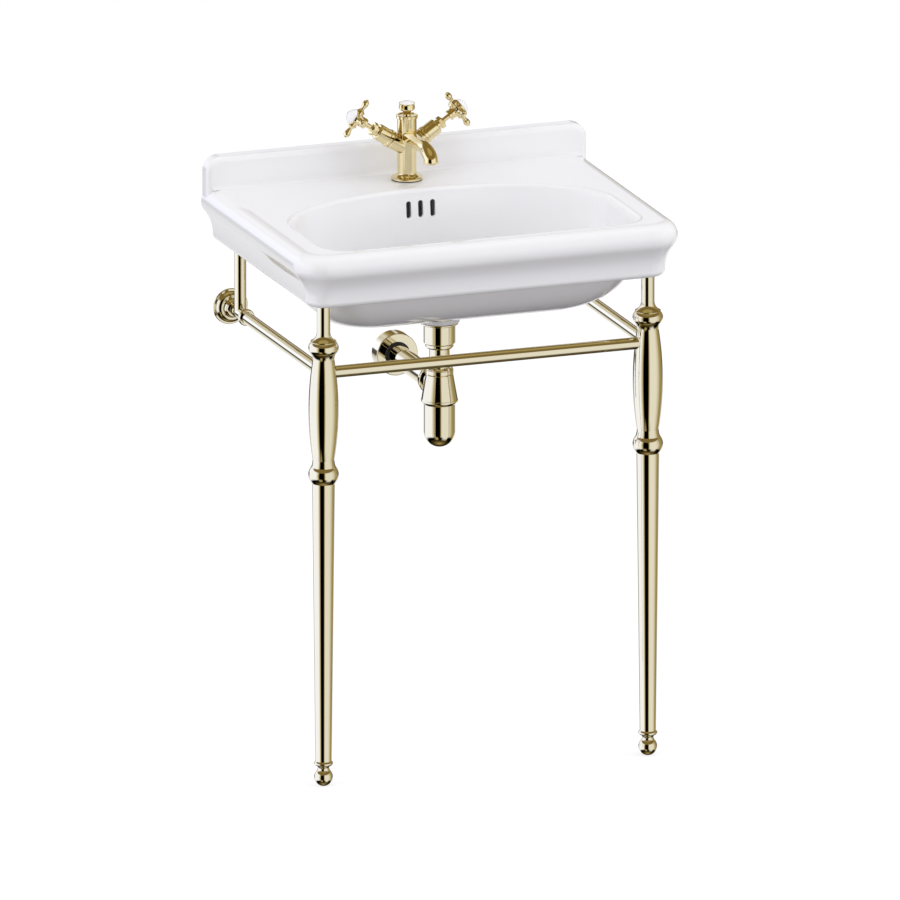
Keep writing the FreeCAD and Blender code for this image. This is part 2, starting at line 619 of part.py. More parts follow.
# --------------------------------------------------------------------- stand
def baluster(side):
    """Turned baluster with its plain post above, bored for the two rails."""
    foot = BALUSTER_FOOT
    spigot = LEG_TOP_RADIUS - LEG_WALL - FIT
    post_end = POST_TOP - foot
    close = [(POST_RADIUS, post_end), (0, post_end), (0, -BALUSTER_SPIGOT), (spigot, -BALUSTER_SPIGOT),
             (spigot, 0)]
    body = moved(turned(BALUSTER_OUTLINE + close), z=foot)
    reach = 3 * TUBE_RADIUS
    socket = Part.makeCylinder(TUBE_RADIUS + FIT, reach, Vector(-SOCKET_FLOOR, 0, RAIL_HEIGHT), -X_AXIS)
    side_socket = Part.makeCylinder(TUBE_RADIUS + FIT, reach, Vector(0, SOCKET_FLOOR, RAIL_HEIGHT), Y_AXIS)
    thread = rod(LEVEL_SCREW_RADIUS + SLIP, POST_TOP - LEVEL_SCREW_GRIP - 1, POST_TOP)
    body = body.cut([socket, side_socket, thread])
    return sided(moved(body, LEG_X, LEG_Y), side)


def leg(side):
    """Tapered tube leg, plugged and tapped at its foot."""
    inner_top = LEG_TOP_RADIUS - LEG_WALL
    inner_foot = LEG_FOOT_RADIUS - LEG_WALL
    plug_top = FOOT_TOP + LEG_PLUG
    bore = FOOT_STUD_RADIUS + SLIP
    body = turned([(bore, FOOT_TOP), (LEG_FOOT_RADIUS, FOOT_TOP), (LEG_TOP_RADIUS, BALUSTER_FOOT),
                   (inner_top, BALUSTER_FOOT), (inner_top, BALUSTER_FOOT - BALUSTER_SPIGOT - 1),
                   (inner_foot, plug_top), (bore, plug_top)])
    return sided(moved(body, LEG_X, LEG_Y), side)


def foot(side):
    """Ball foot with a neck, a ring and a stud that screws into the leg."""
    ball_z = math.sqrt(FOOT_BALL_RADIUS ** 2 - FOOT_FLAT_RADIUS ** 2)
    neck_radius, neck_z = 9.5, 29.0
    ball_top = ball_z + math.sqrt(FOOT_BALL_RADIUS ** 2 - 10.5 ** 2)
    body = turned([(0, 0), (FOOT_FLAT_RADIUS, 0), (FOOT_BALL_RADIUS, ball_z, True), (10.5, ball_top),
                   (neck_radius, neck_z, True), (11.5, 33.5), (14.2, 34.5), (15.2, 37, True),
                   (14.2, 39.5), (LEG_FOOT_RADIUS, FOOT_TOP), (FOOT_STUD_RADIUS, FOOT_TOP),
                   (FOOT_STUD_RADIUS, FOOT_TOP + FOOT_STUD_LENGTH), (0, FOOT_TOP + FOOT_STUD_LENGTH)])
    return sided(moved(body, LEG_X, LEG_Y), side)


def front_rail():
    """Rail between the two front legs."""
    half = LEG_X - SOCKET_FLOOR - FIT
    body = tube(TUBE_RADIUS, TUBE_RADIUS - TUBE_WALL, -half, half)
    return aimed(body, X_AXIS, Vector(0, LEG_Y, RAIL_HEIGHT))


def side_rail(side):
    """Rail from the tee's collar to the front leg."""
    start_y = LEG_Y + SOCKET_FLOOR + FIT
    end_y = WALL_Y - TEE_END_FROM_WALL + TEE_COLLAR_LENGTH - 1.5
    body = tube(TUBE_RADIUS, TUBE_RADIUS - TUBE_WALL, 0, end_y - start_y)
    return sided(aimed(body, Y_AXIS, Vector(LEG_X, start_y, RAIL_HEIGHT)), side)


def tee(side):
    """Level tube from the wall to the collar that takes the side rail."""
    start = WALL_PLATE_THICKNESS
    end = TEE_END_FROM_WALL
    collar = end - TEE_COLLAR_LENGTH
    bore = TUBE_RADIUS - TUBE_WALL
    socket = TUBE_RADIUS + FIT
    ring = TEE_COLLAR_RADIUS
    body = turned([(bore, start), (TUBE_RADIUS, start), (TUBE_RADIUS, collar), (ring - 1.5, collar),
                   bulge((ring - 1.5, collar), (ring - 1.5, end), 1.5), (ring - 1.5, end),
                   (socket, end), (socket, collar + 1.5), (bore, collar + 1.5)])
    grub = Part.makeCylinder(GRUB_RADIUS + SLIP, ring, Vector(0, 0, end - TEE_COLLAR_LENGTH / 2), -Y_AXIS)
    body = body.cut(grub)
    return sided(aimed(body, -Y_AXIS, Vector(LEG_X, WALL_Y, RAIL_HEIGHT)), side)


def grub_screws():
    """Set screws under the two collars, which lock the side rails."""
    inner = TUBE_RADIUS + FIT
    length = TEE_COLLAR_RADIUS - 1 - inner
    y = WALL_Y - TEE_END_FROM_WALL + TEE_COLLAR_LENGTH / 2
    screws = [Part.makeCylinder(GRUB_RADIUS, length, Vector(x, y, RAIL_HEIGHT - inner), -Z_AXIS)
              for x in (-LEG_X, LEG_X)]
    return Part.makeCompound(screws)


def rear_post(side):
    """Upright tube, coped at its foot to sit on the tee."""
    bore = LEVEL_SCREW_RADIUS + SLIP
    inner = REAR_POST_RADIUS - TUBE_WALL
    thread_bottom = POST_TOP - LEVEL_SCREW_GRIP - 1
    body = turned([(inner, RAIL_HEIGHT), (REAR_POST_RADIUS, RAIL_HEIGHT), (REAR_POST_RADIUS, POST_TOP),
                   (bore, POST_TOP), (bore, thread_bottom), (inner, thread_bottom)])
    cope = Part.makeCylinder(TUBE_RADIUS, 6 * TUBE_RADIUS, Vector(0, -3 * TUBE_RADIUS, RAIL_HEIGHT), Y_AXIS)
    return sided(moved(body.cut(cope), LEG_X, REAR_POST_Y), side)


def wall_flange(side):
    """Moulded cover flange, hollow behind to clear the wall plate."""
    radius = FLANGE_RADIUS
    bore = TUBE_RADIUS + FIT
    hollow = WALL_PLATE_RADIUS + 1
    hollow_depth = WALL_PLATE_THICKNESS + 1.5
    end = FLANGE_PROJECTION
    ovolo_start, ovolo_end = (radius - 3.6, 4.2), (radius - 11.5, 13.0)
    scotia_start, scotia_end = (radius - 13.4, 13.4), (bore + 2.6, end - 1.4)
    body = turned([(hollow, 0), (radius - 1, 0), (radius, 1.9, True), (radius - 1, 3.8), ovolo_start,
                   bulge(ovolo_start, ovolo_end, 2.2), ovolo_end, scotia_start,
                   bulge(scotia_start, scotia_end, -1.4), scotia_end, (bore + 2, end), (bore, end),
                   (bore, hollow_depth), (hollow, hollow_depth)])
    return sided(aimed(body, -Y_AXIS, Vector(LEG_X, WALL_Y, RAIL_HEIGHT)), side)


def wall_plates():
    """Plates screwed to the wall behind the flanges, with a spigot for the tee."""
    spigot_radius = TUBE_RADIUS - TUBE_WALL - FIT
    body = turned([(0, 0), (WALL_PLATE_RADIUS, 0), (WALL_PLATE_RADIUS, WALL_PLATE_THICKNESS),
                   (spigot_radius, WALL_PLATE_THICKNESS),
                   (spigot_radius, WALL_PLATE_THICKNESS + WALL_PLATE_SPIGOT),
                   (0, WALL_PLATE_THICKNESS + WALL_PLATE_SPIGOT)])
    holes = [rod(WALL_PLATE_HOLE_RADIUS, -1, WALL_PLATE_THICKNESS + 1,
                 0, side * WALL_PLATE_HOLE_SPACING / 2) for side in (-1, 1)]
    body = body.cut(holes)
    plates = [aimed(body, -Y_AXIS, Vector(x, WALL_Y, RAIL_HEIGHT)) for x in (-LEG_X, LEG_X)]
    return Part.makeCompound(plates)


def post_places():
    """Axes of the four uprights that carry the basin."""
    return [(side * LEG_X, y) for side in SIDES.values() for y in (LEG_Y, REAR_POST_Y)]


def level_screws():
    """Hexagon-headed levelling screws in the tops of the uprights."""
    head_bottom = POST_TOP + LEVEL_SCREW_OUT
    screw = joined([rod(LEVEL_SCREW_RADIUS, POST_TOP - LEVEL_SCREW_GRIP, head_bottom),
                    hexagon(LEVEL_SCREW_HEAD, head_bottom, head_bottom + LEVEL_HEAD_THICKNESS)])
    return Part.makeCompound([moved(screw, x, y) for x, y in post_places()])


def support_pads():
    """Rubber pads between the levelling screws and the china."""
    pad = rod(PAD_RADIUS, SUPPORT_Z - PAD_THICKNESS, SUPPORT_Z)
    return Part.makeCompound([moved(pad, x, y) for x, y in post_places()])


# ----------------------------------------------------------------------- tap
def tap_place(shape):
    """Copy of a shape made about the tap's own axis and deck level, set in the basin."""
    return moved(shape, 0, TAP_Y, DECK_HEIGHT)


def valve_place(shape, side):
    """Copy of a shape made along Z from the column axis, laid along a valve arm."""
    angle = math.radians(VALVE_ANGLE)
    direction = Vector(SIDES[side] * math.cos(angle), 0, math.sin(angle))
    return aimed(shape, direction, Vector(0, TAP_Y, DECK_HEIGHT + VALVE_HEIGHT))


def spout_section(place, direction, half_width, half_height, roundness):
    """Eight-sided section with softened corners, across the spout's line."""
    across = X_AXIS
    up = direction.cross(across)
    points = []
    for k in range(8):
        turn = math.radians(22.5 + 45 * k)
        points.append(place + across * (half_width * math.cos(turn)) + up * (half_height * math.sin(turn)))
    edges = []
    for k in range(8):
        first, second = points[k], points[(k + 1) % 8]
        turn = math.radians(45 + 45 * k)
        flat = (first + second) * 0.5
        full = place + across * (half_width * math.cos(turn)) + up * (half_height * math.sin(turn))
        middle = flat + (full - flat) * roundness
        edges.append(Part.Arc(first, middle, second).toShape())
    return Part.Wire(edges)


def spout():
    """Faceted spout that runs level from the column and turns down into the nozzle."""
    stations = [(SPOUT_REACH, 0, 0, 12.5, 11.5, 0.15), (82, 1, 0, 11.5, 11, 0.15),
                (52, 1.2, 2, 10.8, 10.6, 0.2), (28, 0.5, 12, 11, 10.8, 0.45),
                (12, -3.5, 38, 11.6, 11.4, 0.8),
                (2.5, -9.5, 66, 11.6, 11.6, 1),
                (0, SPOUT_OUTLET - SPOUT_HEIGHT, 90, NOZZLE_RADIUS, NOZZLE_RADIUS, 1)]
    sections = []
    for behind_nozzle, rise, turn, half_width, half_height, roundness in stations:
        place = Vector(0, behind_nozzle - SPOUT_REACH, SPOUT_HEIGHT + rise)
        angle = math.radians(turn)
        direction = Vector(0, -math.cos(angle), -math.sin(angle))
        sections.append(spout_section(place, direction, half_width, half_height, roundness))
    return Part.makeLoft(sections, True)


def tap_body():
    """Column, base, valve arms and spout, cast in one piece."""
    bottom = GASKET_THICKNESS
    edge = bottom + TAP_BASE_THICKNESS
    base = TAP_BASE_RADIUS
    column = turned([(0, bottom), (base - 0.6, bottom), (base, bottom + 0.6), (base, edge - 1.4),
                     (base - 0.6, edge - 0.3, True), (base - 2, edge),
                     (COLUMN_RADIUS + 3.2, edge + 1.6, True),
                     (COLUMN_RADIUS, edge + 6), (COLUMN_RADIUS, COLUMN_TOP),
                     (COLLAR_RADIUS - 0.5, COLUMN_TOP), (COLLAR_RADIUS, COLUMN_TOP + 0.8),
                     (COLLAR_RADIUS, COLUMN_TOP + COLLAR_HEIGHT - 0.8),
                     (COLLAR_RADIUS - 0.8, COLUMN_TOP + COLLAR_HEIGHT),
                     (COLUMN_RADIUS - 1.5, COLUMN_TOP + COLLAR_HEIGHT),
                     (COLUMN_RADIUS - 3, COLUMN_TOP + COLLAR_HEIGHT - COLLAR_RECESS),
                     (0, COLUMN_TOP + COLLAR_HEIGHT - COLLAR_RECESS)])
    shank = rod(TAP_HOLE_RADIUS - 0.5, SHANK_BOTTOM, bottom)
    parts = [tap_place(column), tap_place(shank), tap_place(spout())]
    ring = ARM_RADIUS + ARM_COLLAR
    arm = turned([(0, 0), (ARM_RADIUS, 0), (ARM_RADIUS, ARM_END - 3.4), (ring, ARM_END - 2.6),
                  (ring, ARM_END - 0.8), (ring - 0.8, ARM_END), (0, ARM_END)])
    parts += [valve_place(arm, side) for side in SIDES]
    body = joined(parts)
    guide_start = COLUMN_TOP - GUIDE_LENGTH
    guide = rod(ROD_RADIUS + SLIP, guide_start, COLUMN_TOP + COLLAR_HEIGHT)
    rod_way = rod(ROD_RADIUS + 1, -DECK_THICKNESS, guide_start)
    tails = [rod(TAIL_RADIUS, -DECK_THICKNESS, SHANK_BOTTOM + TAIL_DEPTH,
                 side * TAIL_OFFSET_X, TAIL_OFFSET_Y) for side in SIDES.values()]
    stud_hole = rod(STUD_RADIUS + SLIP, -DECK_THICKNESS, SHANK_BOTTOM + STUD_GRIP, 0, STUD_OFFSET_Y)
    nozzle = rod(AERATOR_RADIUS + FIT, SPOUT_OUTLET - 1, SPOUT_OUTLET + AERATOR_LENGTH, 0, -SPOUT_REACH)
    cuts = [tap_place(cut) for cut in [guide, rod_way, stud_hole, nozzle] + tails]
    seat = rod(CARTRIDGE_RADIUS + FIT, CARTRIDGE_START, ARM_END + 1)
    cuts += [valve_place(seat, side) for side in SIDES]
    return body.cut(cuts)


def aerator():
    """Insert in the nozzle with a ring of jets."""
    body = rod(AERATOR_RADIUS, SPOUT_OUTLET + 0.5, SPOUT_OUTLET + AERATOR_LENGTH)
    jets = [rod(1.0, SPOUT_OUTLET, SPOUT_OUTLET + 4,
                5 * math.cos(k * math.pi / 4), 5 * math.sin(k * math.pi / 4)) for k in range(8)]
    return tap_place(moved(body.cut(jets), 0, -SPOUT_REACH))


def base_gasket():
    """Rubber ring between the tap's base and the deck."""
    return tap_place(tube(TAP_BASE_RADIUS - 1, TAP_HOLE_RADIUS, 0, GASKET_THICKNESS))


def tap_stud():
    """Threaded stud that pulls the tap down on the deck."""
    top = SHANK_BOTTOM + STUD_GRIP
    return tap_place(rod(STUD_RADIUS, top - STUD_LENGTH, top, 0, STUD_OFFSET_Y))


def horseshoe(top, thickness):
    """Open washer under the deck, which clears the tails and the lift rod."""
    ring = tube(CLAMP_RADIUS, TAP_HOLE_RADIUS - 1.5, top - thickness, top)
    opening = box((-CLAMP_RADIUS, 9, top - thickness - 1), (CLAMP_RADIUS, CLAMP_RADIUS + 1, top + 1))
    bridge = rod(6.5, top - thickness, top, 0, STUD_OFFSET_Y)
    web = box((-6.5, -TAP_HOLE_RADIUS, top - thickness), (6.5, STUD_OFFSET_Y, top))
    plate = joined([ring.cut(opening), bridge, web])
    stud = rod(STUD_RADIUS + FIT, top - thickness - 1, top + 1, 0, STUD_OFFSET_Y)
    passage = rod(ROD_RADIUS + 1.5, top - thickness - 1, top + 1)
    return tap_place(plate.cut([stud, passage]))


def clamp_nut():
    """Nut on the tap's stud."""
    top = -DECK_THICKNESS - CLAMP_RUBBER - CLAMP_STEEL
    nut = hexagon(CLAMP_NUT_RADIUS, top - CLAMP_NUT_HEIGHT, top).cut(
        rod(STUD_RADIUS + SLIP, top - CLAMP_NUT_HEIGHT - 1, top + 1))
    return tap_place(moved(nut, 0, STUD_OFFSET_Y))


def bonnet(side):
    """Cylindrical cover over the valve cartridge, with a ring at its foot."""
    r = BONNET_RADIUS
    ring = BONNET_RING_RADIUS
    start = ARM_END
    body = turned([(CARTRIDGE_RADIUS + FIT, start), (r - 1.2, start), (r - 1.2, start + 1),
                   (ring - 0.8, start + 1), (ring, start + 1.8), (ring, start + 5.8),
                   (ring - 0.8, start + 6.6), (r, start + 6.8), (r, BONNET_END - 2.4),
                   (r - 0.8, BONNET_END - 0.8, True),
                   (r - 2.6, BONNET_END), (CARTRIDGE_RADIUS + FIT, BONNET_END)])
    return valve_place(body, side)


def gland_nut(side):
    """Eight-sided nut on a neck, with a small collar, round the spindle."""
    start = BONNET_END
    nut = start + 4.6
    end = nut + 6.4
    r = GLAND_RADIUS
    lens = turned([(0, nut), (r - 1.2, nut), (r, nut + 1.2), (r, end - 1.2), (r - 1.2, end), (0, end)])
    flats = hexagon(r, nut, end, 8).common(lens)
    collar = turned([(0, start), (GLAND_NECK_RADIUS, start), (GLAND_NECK_RADIUS, nut + 1), (6.5, nut + 1),
                     (6.5, GLAND_END - 0.8), (5.7, GLAND_END), (0, GLAND_END)])
    body = joined([flats, collar])
    return valve_place(body.cut(rod(SPINDLE_RADIUS + SLIP, start - 1, GLAND_END + 1)), side)


def cartridge(side):
    """Valve insert: a sleeve that guides the spindle, closed by the fixed disc."""
    body = rod(CARTRIDGE_RADIUS, CARTRIDGE_START, BONNET_END)
    bore = rod(SPINDLE_RADIUS + SLIP, CARTRIDGE_START + 12, BONNET_END + 1)
    floor = CARTRIDGE_START + DISC_FLOOR
    chamber = rod(DISC_CHAMBER_RADIUS, floor, CARTRIDGE_START + 13)
    ports = [rod(VALVE_PORT_RADIUS, CARTRIDGE_START - 1, floor + 1, VALVE_PORT_OFFSET * turn, 0)
             for turn in (-1, 1)]
    return valve_place(body.cut([bore, chamber] + ports), side)


def spindle(side):
    """Spindle with the turning disc at its inner end and the square end in the handle."""
    floor = CARTRIDGE_START + DISC_FLOOR
    disc = rod(DISC_CHAMBER_RADIUS - SLIP, floor + GAP, floor + 6)
    ports = [rod(VALVE_PORT_RADIUS, floor - 1, floor + 4, VALVE_PORT_OFFSET * turn, 0)
             for turn in (-1, 1)]
    shaft = rod(SPINDLE_RADIUS, floor + 5, HANDLE_CENTRE)
    return valve_place(joined([disc.cut(ports), shaft]), side)


def handle_arm():
    """One arm of the cross handle, turned about Z from the hub outward."""
    boss, ring, bulb = HANDLE_BOSS_RADIUS, HANDLE_RING_RADIUS, HANDLE_BULB_RADIUS
    reach = HANDLE_REACH
    return turned([(0, 0), (boss, 0), (boss, 11.6), (ring, 12.4), (ring, 13.6), (boss - 1.2, 14.6),
                   (3.3, 17.6), (3.3, 19.6), (4.2, 23.2), (bulb, reach - 6.4, True), (3.9, reach - 2.6),
                   (2.5, reach - 2), (2.5, reach - 0.8), (1.4, reach), (0, reach)])


def handle(side):
    """Cross handle: turned hub with a cup for the button, and four turned arms."""
    start, end = HUB_START, HUB_END
    r = HUB_RADIUS
    cup = INDEX_RADIUS
    hub = turned([(0, start), (r - 0.8, start), (r, start + 0.8), (r, start + 4.6), (r - 1, start + 5.2),
                  (r - 1, start + 6), (r, start + 6.6), (r, end - 5), (r + 1.6, end - 3.6),
                  (cup - 0.6, end - 2.6), (cup, end - 2), (cup, end - 0.6), (cup - 0.4, end), (0, end)])
    arms = []
    for k in range(4):
        turn = k * math.pi / 2
        direction = Vector(math.cos(turn), math.sin(turn), 0)
        arms.append(aimed(handle_arm(), direction, Vector(0, 0, HANDLE_CENTRE)))
    body = joined([hub] + arms)
    bore = rod(SPINDLE_RADIUS + SLIP, start - 1, HANDLE_CENTRE + GAP)
    return valve_place(body.cut(bore), side)


def index(side):
    """Domed china button on the handle."""
    r = INDEX_RADIUS - 0.4
    base = HUB_END + INDEX_BAND
    body = turned([(0, HUB_END), (r, HUB_END), (r, base), dome_middle(r, base, INDEX_DOME),
                   (0, base + INDEX_DOME)])
    return valve_place(body, side)


# ------------------------------------------------------- lift rod and pop-up
def lift_rod_bottom():
    """Height of the rod's lower end, held in the strap's clamp."""
    return PIVOT_HEIGHT + LIFT_ROD_ABOVE_PIVOT


def lift_rod():
    """Rod from the knob, down through the tap and the deck, to the strap."""
    top = KNOB_BASE + KNOB_NECK + KNOB_HEIGHT / 2 - GAP
    return tap_place(rod(ROD_RADIUS, lift_rod_bottom() - DECK_HEIGHT, top))


def lift_knob():
    """Cupped knob that holds the china button."""
    r = KNOB_RADIUS
    base = KNOB_BASE
    cup = base + KNOB_NECK
    top = cup + KNOB_HEIGHT
    neck = KNOB_NECK_RADIUS
    pocket = cup + KNOB_HEIGHT / 2
    body = turned([(ROD_RADIUS + SLIP, base), (neck, base), (neck - 0.5, base + 3.5, True),
                   (neck + 1.2, cup - 0.8),
                   (r - 4, cup), (r - 1.2, cup + 1.1, True), (r - 0.6, cup + 3.6), (r - 0.9, top - 2),
                   (r, top), (r - KNOB_RIM, top), (r - KNOB_RIM, top - KNOB_POCKET),
                   (0, top - KNOB_POCKET), (0, pocket),
                   (ROD_RADIUS + SLIP, pocket)])
    return tap_place(body)


def knob_index():
    """Domed china button in the lift knob."""
    r = KNOB_RADIUS - KNOB_RIM - FIT
    seat = KNOB_BASE + KNOB_NECK + KNOB_HEIGHT - KNOB_POCKET
    base = seat + 1.5
    body = turned([(0, seat), (r, seat), (r, base), dome_middle(r, base, KNOB_DOME), (0, base + KNOB_DOME)])
    return tap_place(body)


def strap():
    """Flat strap that links the lift rod to the pivot rod."""
    bottom = pivot_end_z() - STRAP_BELOW
    top = bottom + STRAP_ABOVE + STRAP_BELOW
    half = STRAP_WIDTH / 2
    near = STRAP_Y - STRAP_THICKNESS / 2
    flat = box((-half, near, bottom), (half, near + STRAP_THICKNESS, top))
    grip = lift_rod_bottom() + CLAMP_BLOCK_LIFT
    clamp = box((-half, TAP_Y - CLAMP_BLOCK / 2, grip), (half, STRAP_Y, grip + CLAMP_BLOCK))
    holes = [Part.makeCylinder(STRAP_HOLE_RADIUS, 2 * STRAP_THICKNESS,
                               Vector(0, STRAP_Y - STRAP_THICKNESS, pivot_end_z() + k * STRAP_HOLE_PITCH),
                               Y_AXIS)
             for k in (-1, 0, 1)]
    body = joined([flat, clamp]).cut(holes)
    rod_bore = rod(ROD_RADIUS + SLIP, grip - 1, grip + CLAMP_BLOCK + 1, 0, TAP_Y)
    screw_bore = Part.makeCylinder(CLAMP_SCREW_RADIUS + SLIP, STRAP_WIDTH,
                                   Vector(0, TAP_Y, clamp_screw_z()), X_AXIS)
    return body.cut([rod_bore, screw_bore])


def clamp_screw_z():
    """Height of the screw through the strap's clamp block."""
    return lift_rod_bottom() + CLAMP_BLOCK_LIFT + CLAMP_BLOCK / 2


def strap_screw():
    """Thumb screw that grips the lift rod in the strap."""
    start = ROD_RADIUS + SLIP
    face = STRAP_WIDTH / 2 + SLIP
    height = clamp_screw_z()
    shank = Part.makeCylinder(CLAMP_SCREW_RADIUS, face - start + 1, Vector(start, TAP_Y, height), X_AXIS)
    head = Part.makeCylinder(4.5, 6, Vector(face, TAP_Y, height), X_AXIS)
    return joined([shank, head])


def pivot_tilt():
    """Angle of the pivot rod at rest, below level towards the strap."""
    return math.radians(PIVOT_SWING / 2)


def pivot_end_z():
    """Height of the pivot rod where it passes through the strap at rest."""
    return PIVOT_HEIGHT - PIVOT_ARM * math.tan(pivot_tilt())


def pivot_rod():
    """Horizontal lever with its ball, from the plug's eye to the strap."""
    tilt = pivot_tilt()
    direction = Vector(0, math.cos(tilt), -math.sin(tilt))
    centre = Vector(0, PIVOT_Y, PIVOT_HEIGHT)
    inner = PIVOT_FROM_WASTE + 4
    shaft = rod(PIVOT_ROD_RADIUS, -inner, PIVOT_ARM + 10)
    return aimed(joined([shaft, Part.makeSphere(PIVOT_BALL_RADIUS)]), direction, centre)


def pivot_nut():
    """Ring nut that keeps the ball in its port."""
    start = PIVOT_FROM_WASTE + PIVOT_PORT_LIP
    end = start + 7
    body = hexagon(PIVOT_NUT_RADIUS, start, end)
    ball_seat = rod(PIVOT_BALL_RADIUS + SLIP, start - 1, start + 4)
    cone = Part.makeCone(3.2, 5.2, 4, Vector(0, 0, end - 3.5))
    opening = rod(3.2, start, end + 1)
    return waste_side(body.cut([ball_seat, cone, opening]))


def waste_side(shape):
    """Copy of a shape made along Z, laid from the waste's axis towards the wall."""
    return aimed(shape, Y_AXIS, Vector(0, WASTE_Y, PIVOT_HEIGHT))


# --------------------------------------------------------------------- waste
def waste_body():
    """Flanged waste tube with overflow windows and the pivot port."""
    seat = BOWL_FLOOR - WASTE_FLANGE_THICKNESS
    body = turned([(WASTE_BORE_RADIUS, WASTE_TUBE_BOTTOM), (WASTE_TUBE_RADIUS, WASTE_TUBE_BOTTOM),
                   (WASTE_TUBE_RADIUS, seat), (WASTE_FLANGE_RADIUS - 0.6, seat),
                   (WASTE_FLANGE_RADIUS, seat + 0.8), (WASTE_FLANGE_RADIUS - 0.8, BOWL_FLOOR),
                   (SEAT_OUTER_RADIUS, BOWL_FLOOR), (SEAT_INNER_RADIUS, BOWL_FLOOR - SEAT_DEPTH),
                   (WASTE_BORE_RADIUS, BOWL_FLOOR - 3 * SEAT_DEPTH)])
    body = moved(body, 0, WASTE_Y)
    port_end = PIVOT_FROM_WASTE + PIVOT_PORT_LIP
    port = waste_side(rod(PIVOT_PORT_RADIUS, WASTE_BORE_RADIUS + 1, port_end))
    body = joined([body, port])
    ball_bore = waste_side(rod(PIVOT_BALL_RADIUS + SLIP, PIVOT_FROM_WASTE - PIVOT_BALL_RADIUS,
                               port_end + 1))
    rod_way = waste_side(rod(PIVOT_BALL_RADIUS - 0.5, 0, PIVOT_FROM_WASTE))
    clear = rod(WASTE_BORE_RADIUS, WASTE_TUBE_BOTTOM, seat - 6, 0, WASTE_Y)
    window_z = BOSS_BOTTOM + CHINA_WALL + WASTE_WINDOW_HEIGHT / 2
    half = WASTE_WINDOW_WIDTH / 2
    windows = box((-half, WASTE_Y - 30, window_z - WASTE_WINDOW_HEIGHT / 2),
                  (half, WASTE_Y + 30, window_z + WASTE_WINDOW_HEIGHT / 2))
    return body.cut([ball_bore, rod_way, clear, windows])


def waste_seals():
    """Rubber rings above and below the china."""
    seat = BOWL_FLOOR - WASTE_FLANGE_THICKNESS
    upper = tube(WASTE_FLANGE_RADIUS - 1, WASTE_TUBE_RADIUS + FIT, seat - WASTE_SEAL, seat)
    lower = tube(BACKNUT_RADIUS - 3, WASTE_TUBE_RADIUS + FIT, BOSS_BOTTOM - WASTE_SEAL, BOSS_BOTTOM)
    return Part.makeCompound([moved(upper, 0, WASTE_Y), moved(lower, 0, WASTE_Y)])


def backnut():
    """Flanged nut that clamps the waste from below."""
    top = BOSS_BOTTOM - WASTE_SEAL
    body = turned([(WASTE_TUBE_RADIUS + SLIP, top - BACKNUT_HEIGHT),
                   (BACKNUT_HUB_RADIUS, top - BACKNUT_HEIGHT),
                   (BACKNUT_HUB_RADIUS, top - BACKNUT_FLANGE), (BACKNUT_RADIUS - 0.8, top - BACKNUT_FLANGE),
                   (BACKNUT_RADIUS, top - BACKNUT_FLANGE + 0.8), (BACKNUT_RADIUS, top - 0.6),
                   (BACKNUT_RADIUS - 0.6, top), (WASTE_TUBE_RADIUS + SLIP, top)])
    return moved(body, 0, WASTE_Y)


def shroud():
    """Plain sleeve over the waste tube, holed for the pivot port."""
    top = BOSS_BOTTOM - WASTE_SEAL - BACKNUT_FLANGE
    inner = BACKNUT_HUB_RADIUS + FIT
    body = turned([(inner, SHROUD_BOTTOM + 2), (WASTE_TUBE_RADIUS + FIT, SHROUD_BOTTOM + 2),
                   (WASTE_TUBE_RADIUS + FIT, SHROUD_BOTTOM), (SHROUD_RADIUS - 1, SHROUD_BOTTOM),
                   (SHROUD_RADIUS, SHROUD_BOTTOM + 1), (SHROUD_RADIUS, top), (inner, top)])
    hole = waste_side(rod(PIVOT_PORT_RADIUS + GAP, 10, 2 * SHROUD_RADIUS))
    return moved(body, 0, WASTE_Y).cut(hole)


def plug():
    """Pop-up plug: domed head, guide vanes and an eye for the pivot rod."""
    floor = PLUG_FLOOR
    neck = SEAT_INNER_RADIUS - 1
    rim = floor + 2.6
    head = turned([(0, floor - SEAT_DEPTH), (neck, floor - SEAT_DEPTH), (neck, floor + PLUG_SEAL_LIFT),
                   (PLUG_RADIUS, floor + PLUG_SEAL_LIFT), (PLUG_RADIUS, rim),
                   dome_middle(PLUG_RADIUS, rim, PLUG_DOME), (0, rim + PLUG_DOME)])
    eye_z = PIVOT_HEIGHT + PIVOT_FROM_WASTE * math.tan(pivot_tilt())
    vane = WASTE_BORE_RADIUS - 1.5
    half = PLUG_VANE_THICKNESS / 2
    stem = rod(PLUG_STEM_RADIUS, eye_z + 5, floor)
    low = floor - PLUG_VANE_LENGTH
    vanes = [box((-vane, -half, low), (vane, half, floor - 1)),
             box((-half, -vane, low), (half, vane, floor - 1))]
    ring = Part.makeCylinder(2 * PIVOT_ROD_RADIUS + 2, 4, Vector(0, -2, eye_z), Y_AXIS)
    neck_bar = box((-2.5, -2, eye_z + 4), (2.5, 2, eye_z + 12))
    body = joined([head, stem, ring, neck_bar] + vanes)
    hole = Part.makeCylinder(PIVOT_ROD_RADIUS + 1, 8, Vector(0, -4, eye_z), Y_AXIS)
    return moved(body.cut(hole), 0, WASTE_Y)


def plug_seal():
    """Rubber ring under the plug's head."""
    floor = PLUG_FLOOR
    bore = SEAT_INNER_RADIUS - 1 + SLIP
    slope = SEAT_DEPTH / (SEAT_OUTER_RADIUS - SEAT_INNER_RADIUS)
    low_radius = SEAT_INNER_RADIUS + 1
    low = floor - (SEAT_OUTER_RADIUS - low_radius) * slope
    body = turned([(bore, low), (low_radius, low), (SEAT_OUTER_RADIUS, floor),
                   (SEAT_OUTER_RADIUS, floor + PLUG_SEAL_LIFT), (bore, floor + PLUG_SEAL_LIFT)])
    return moved(body, 0, WASTE_Y)


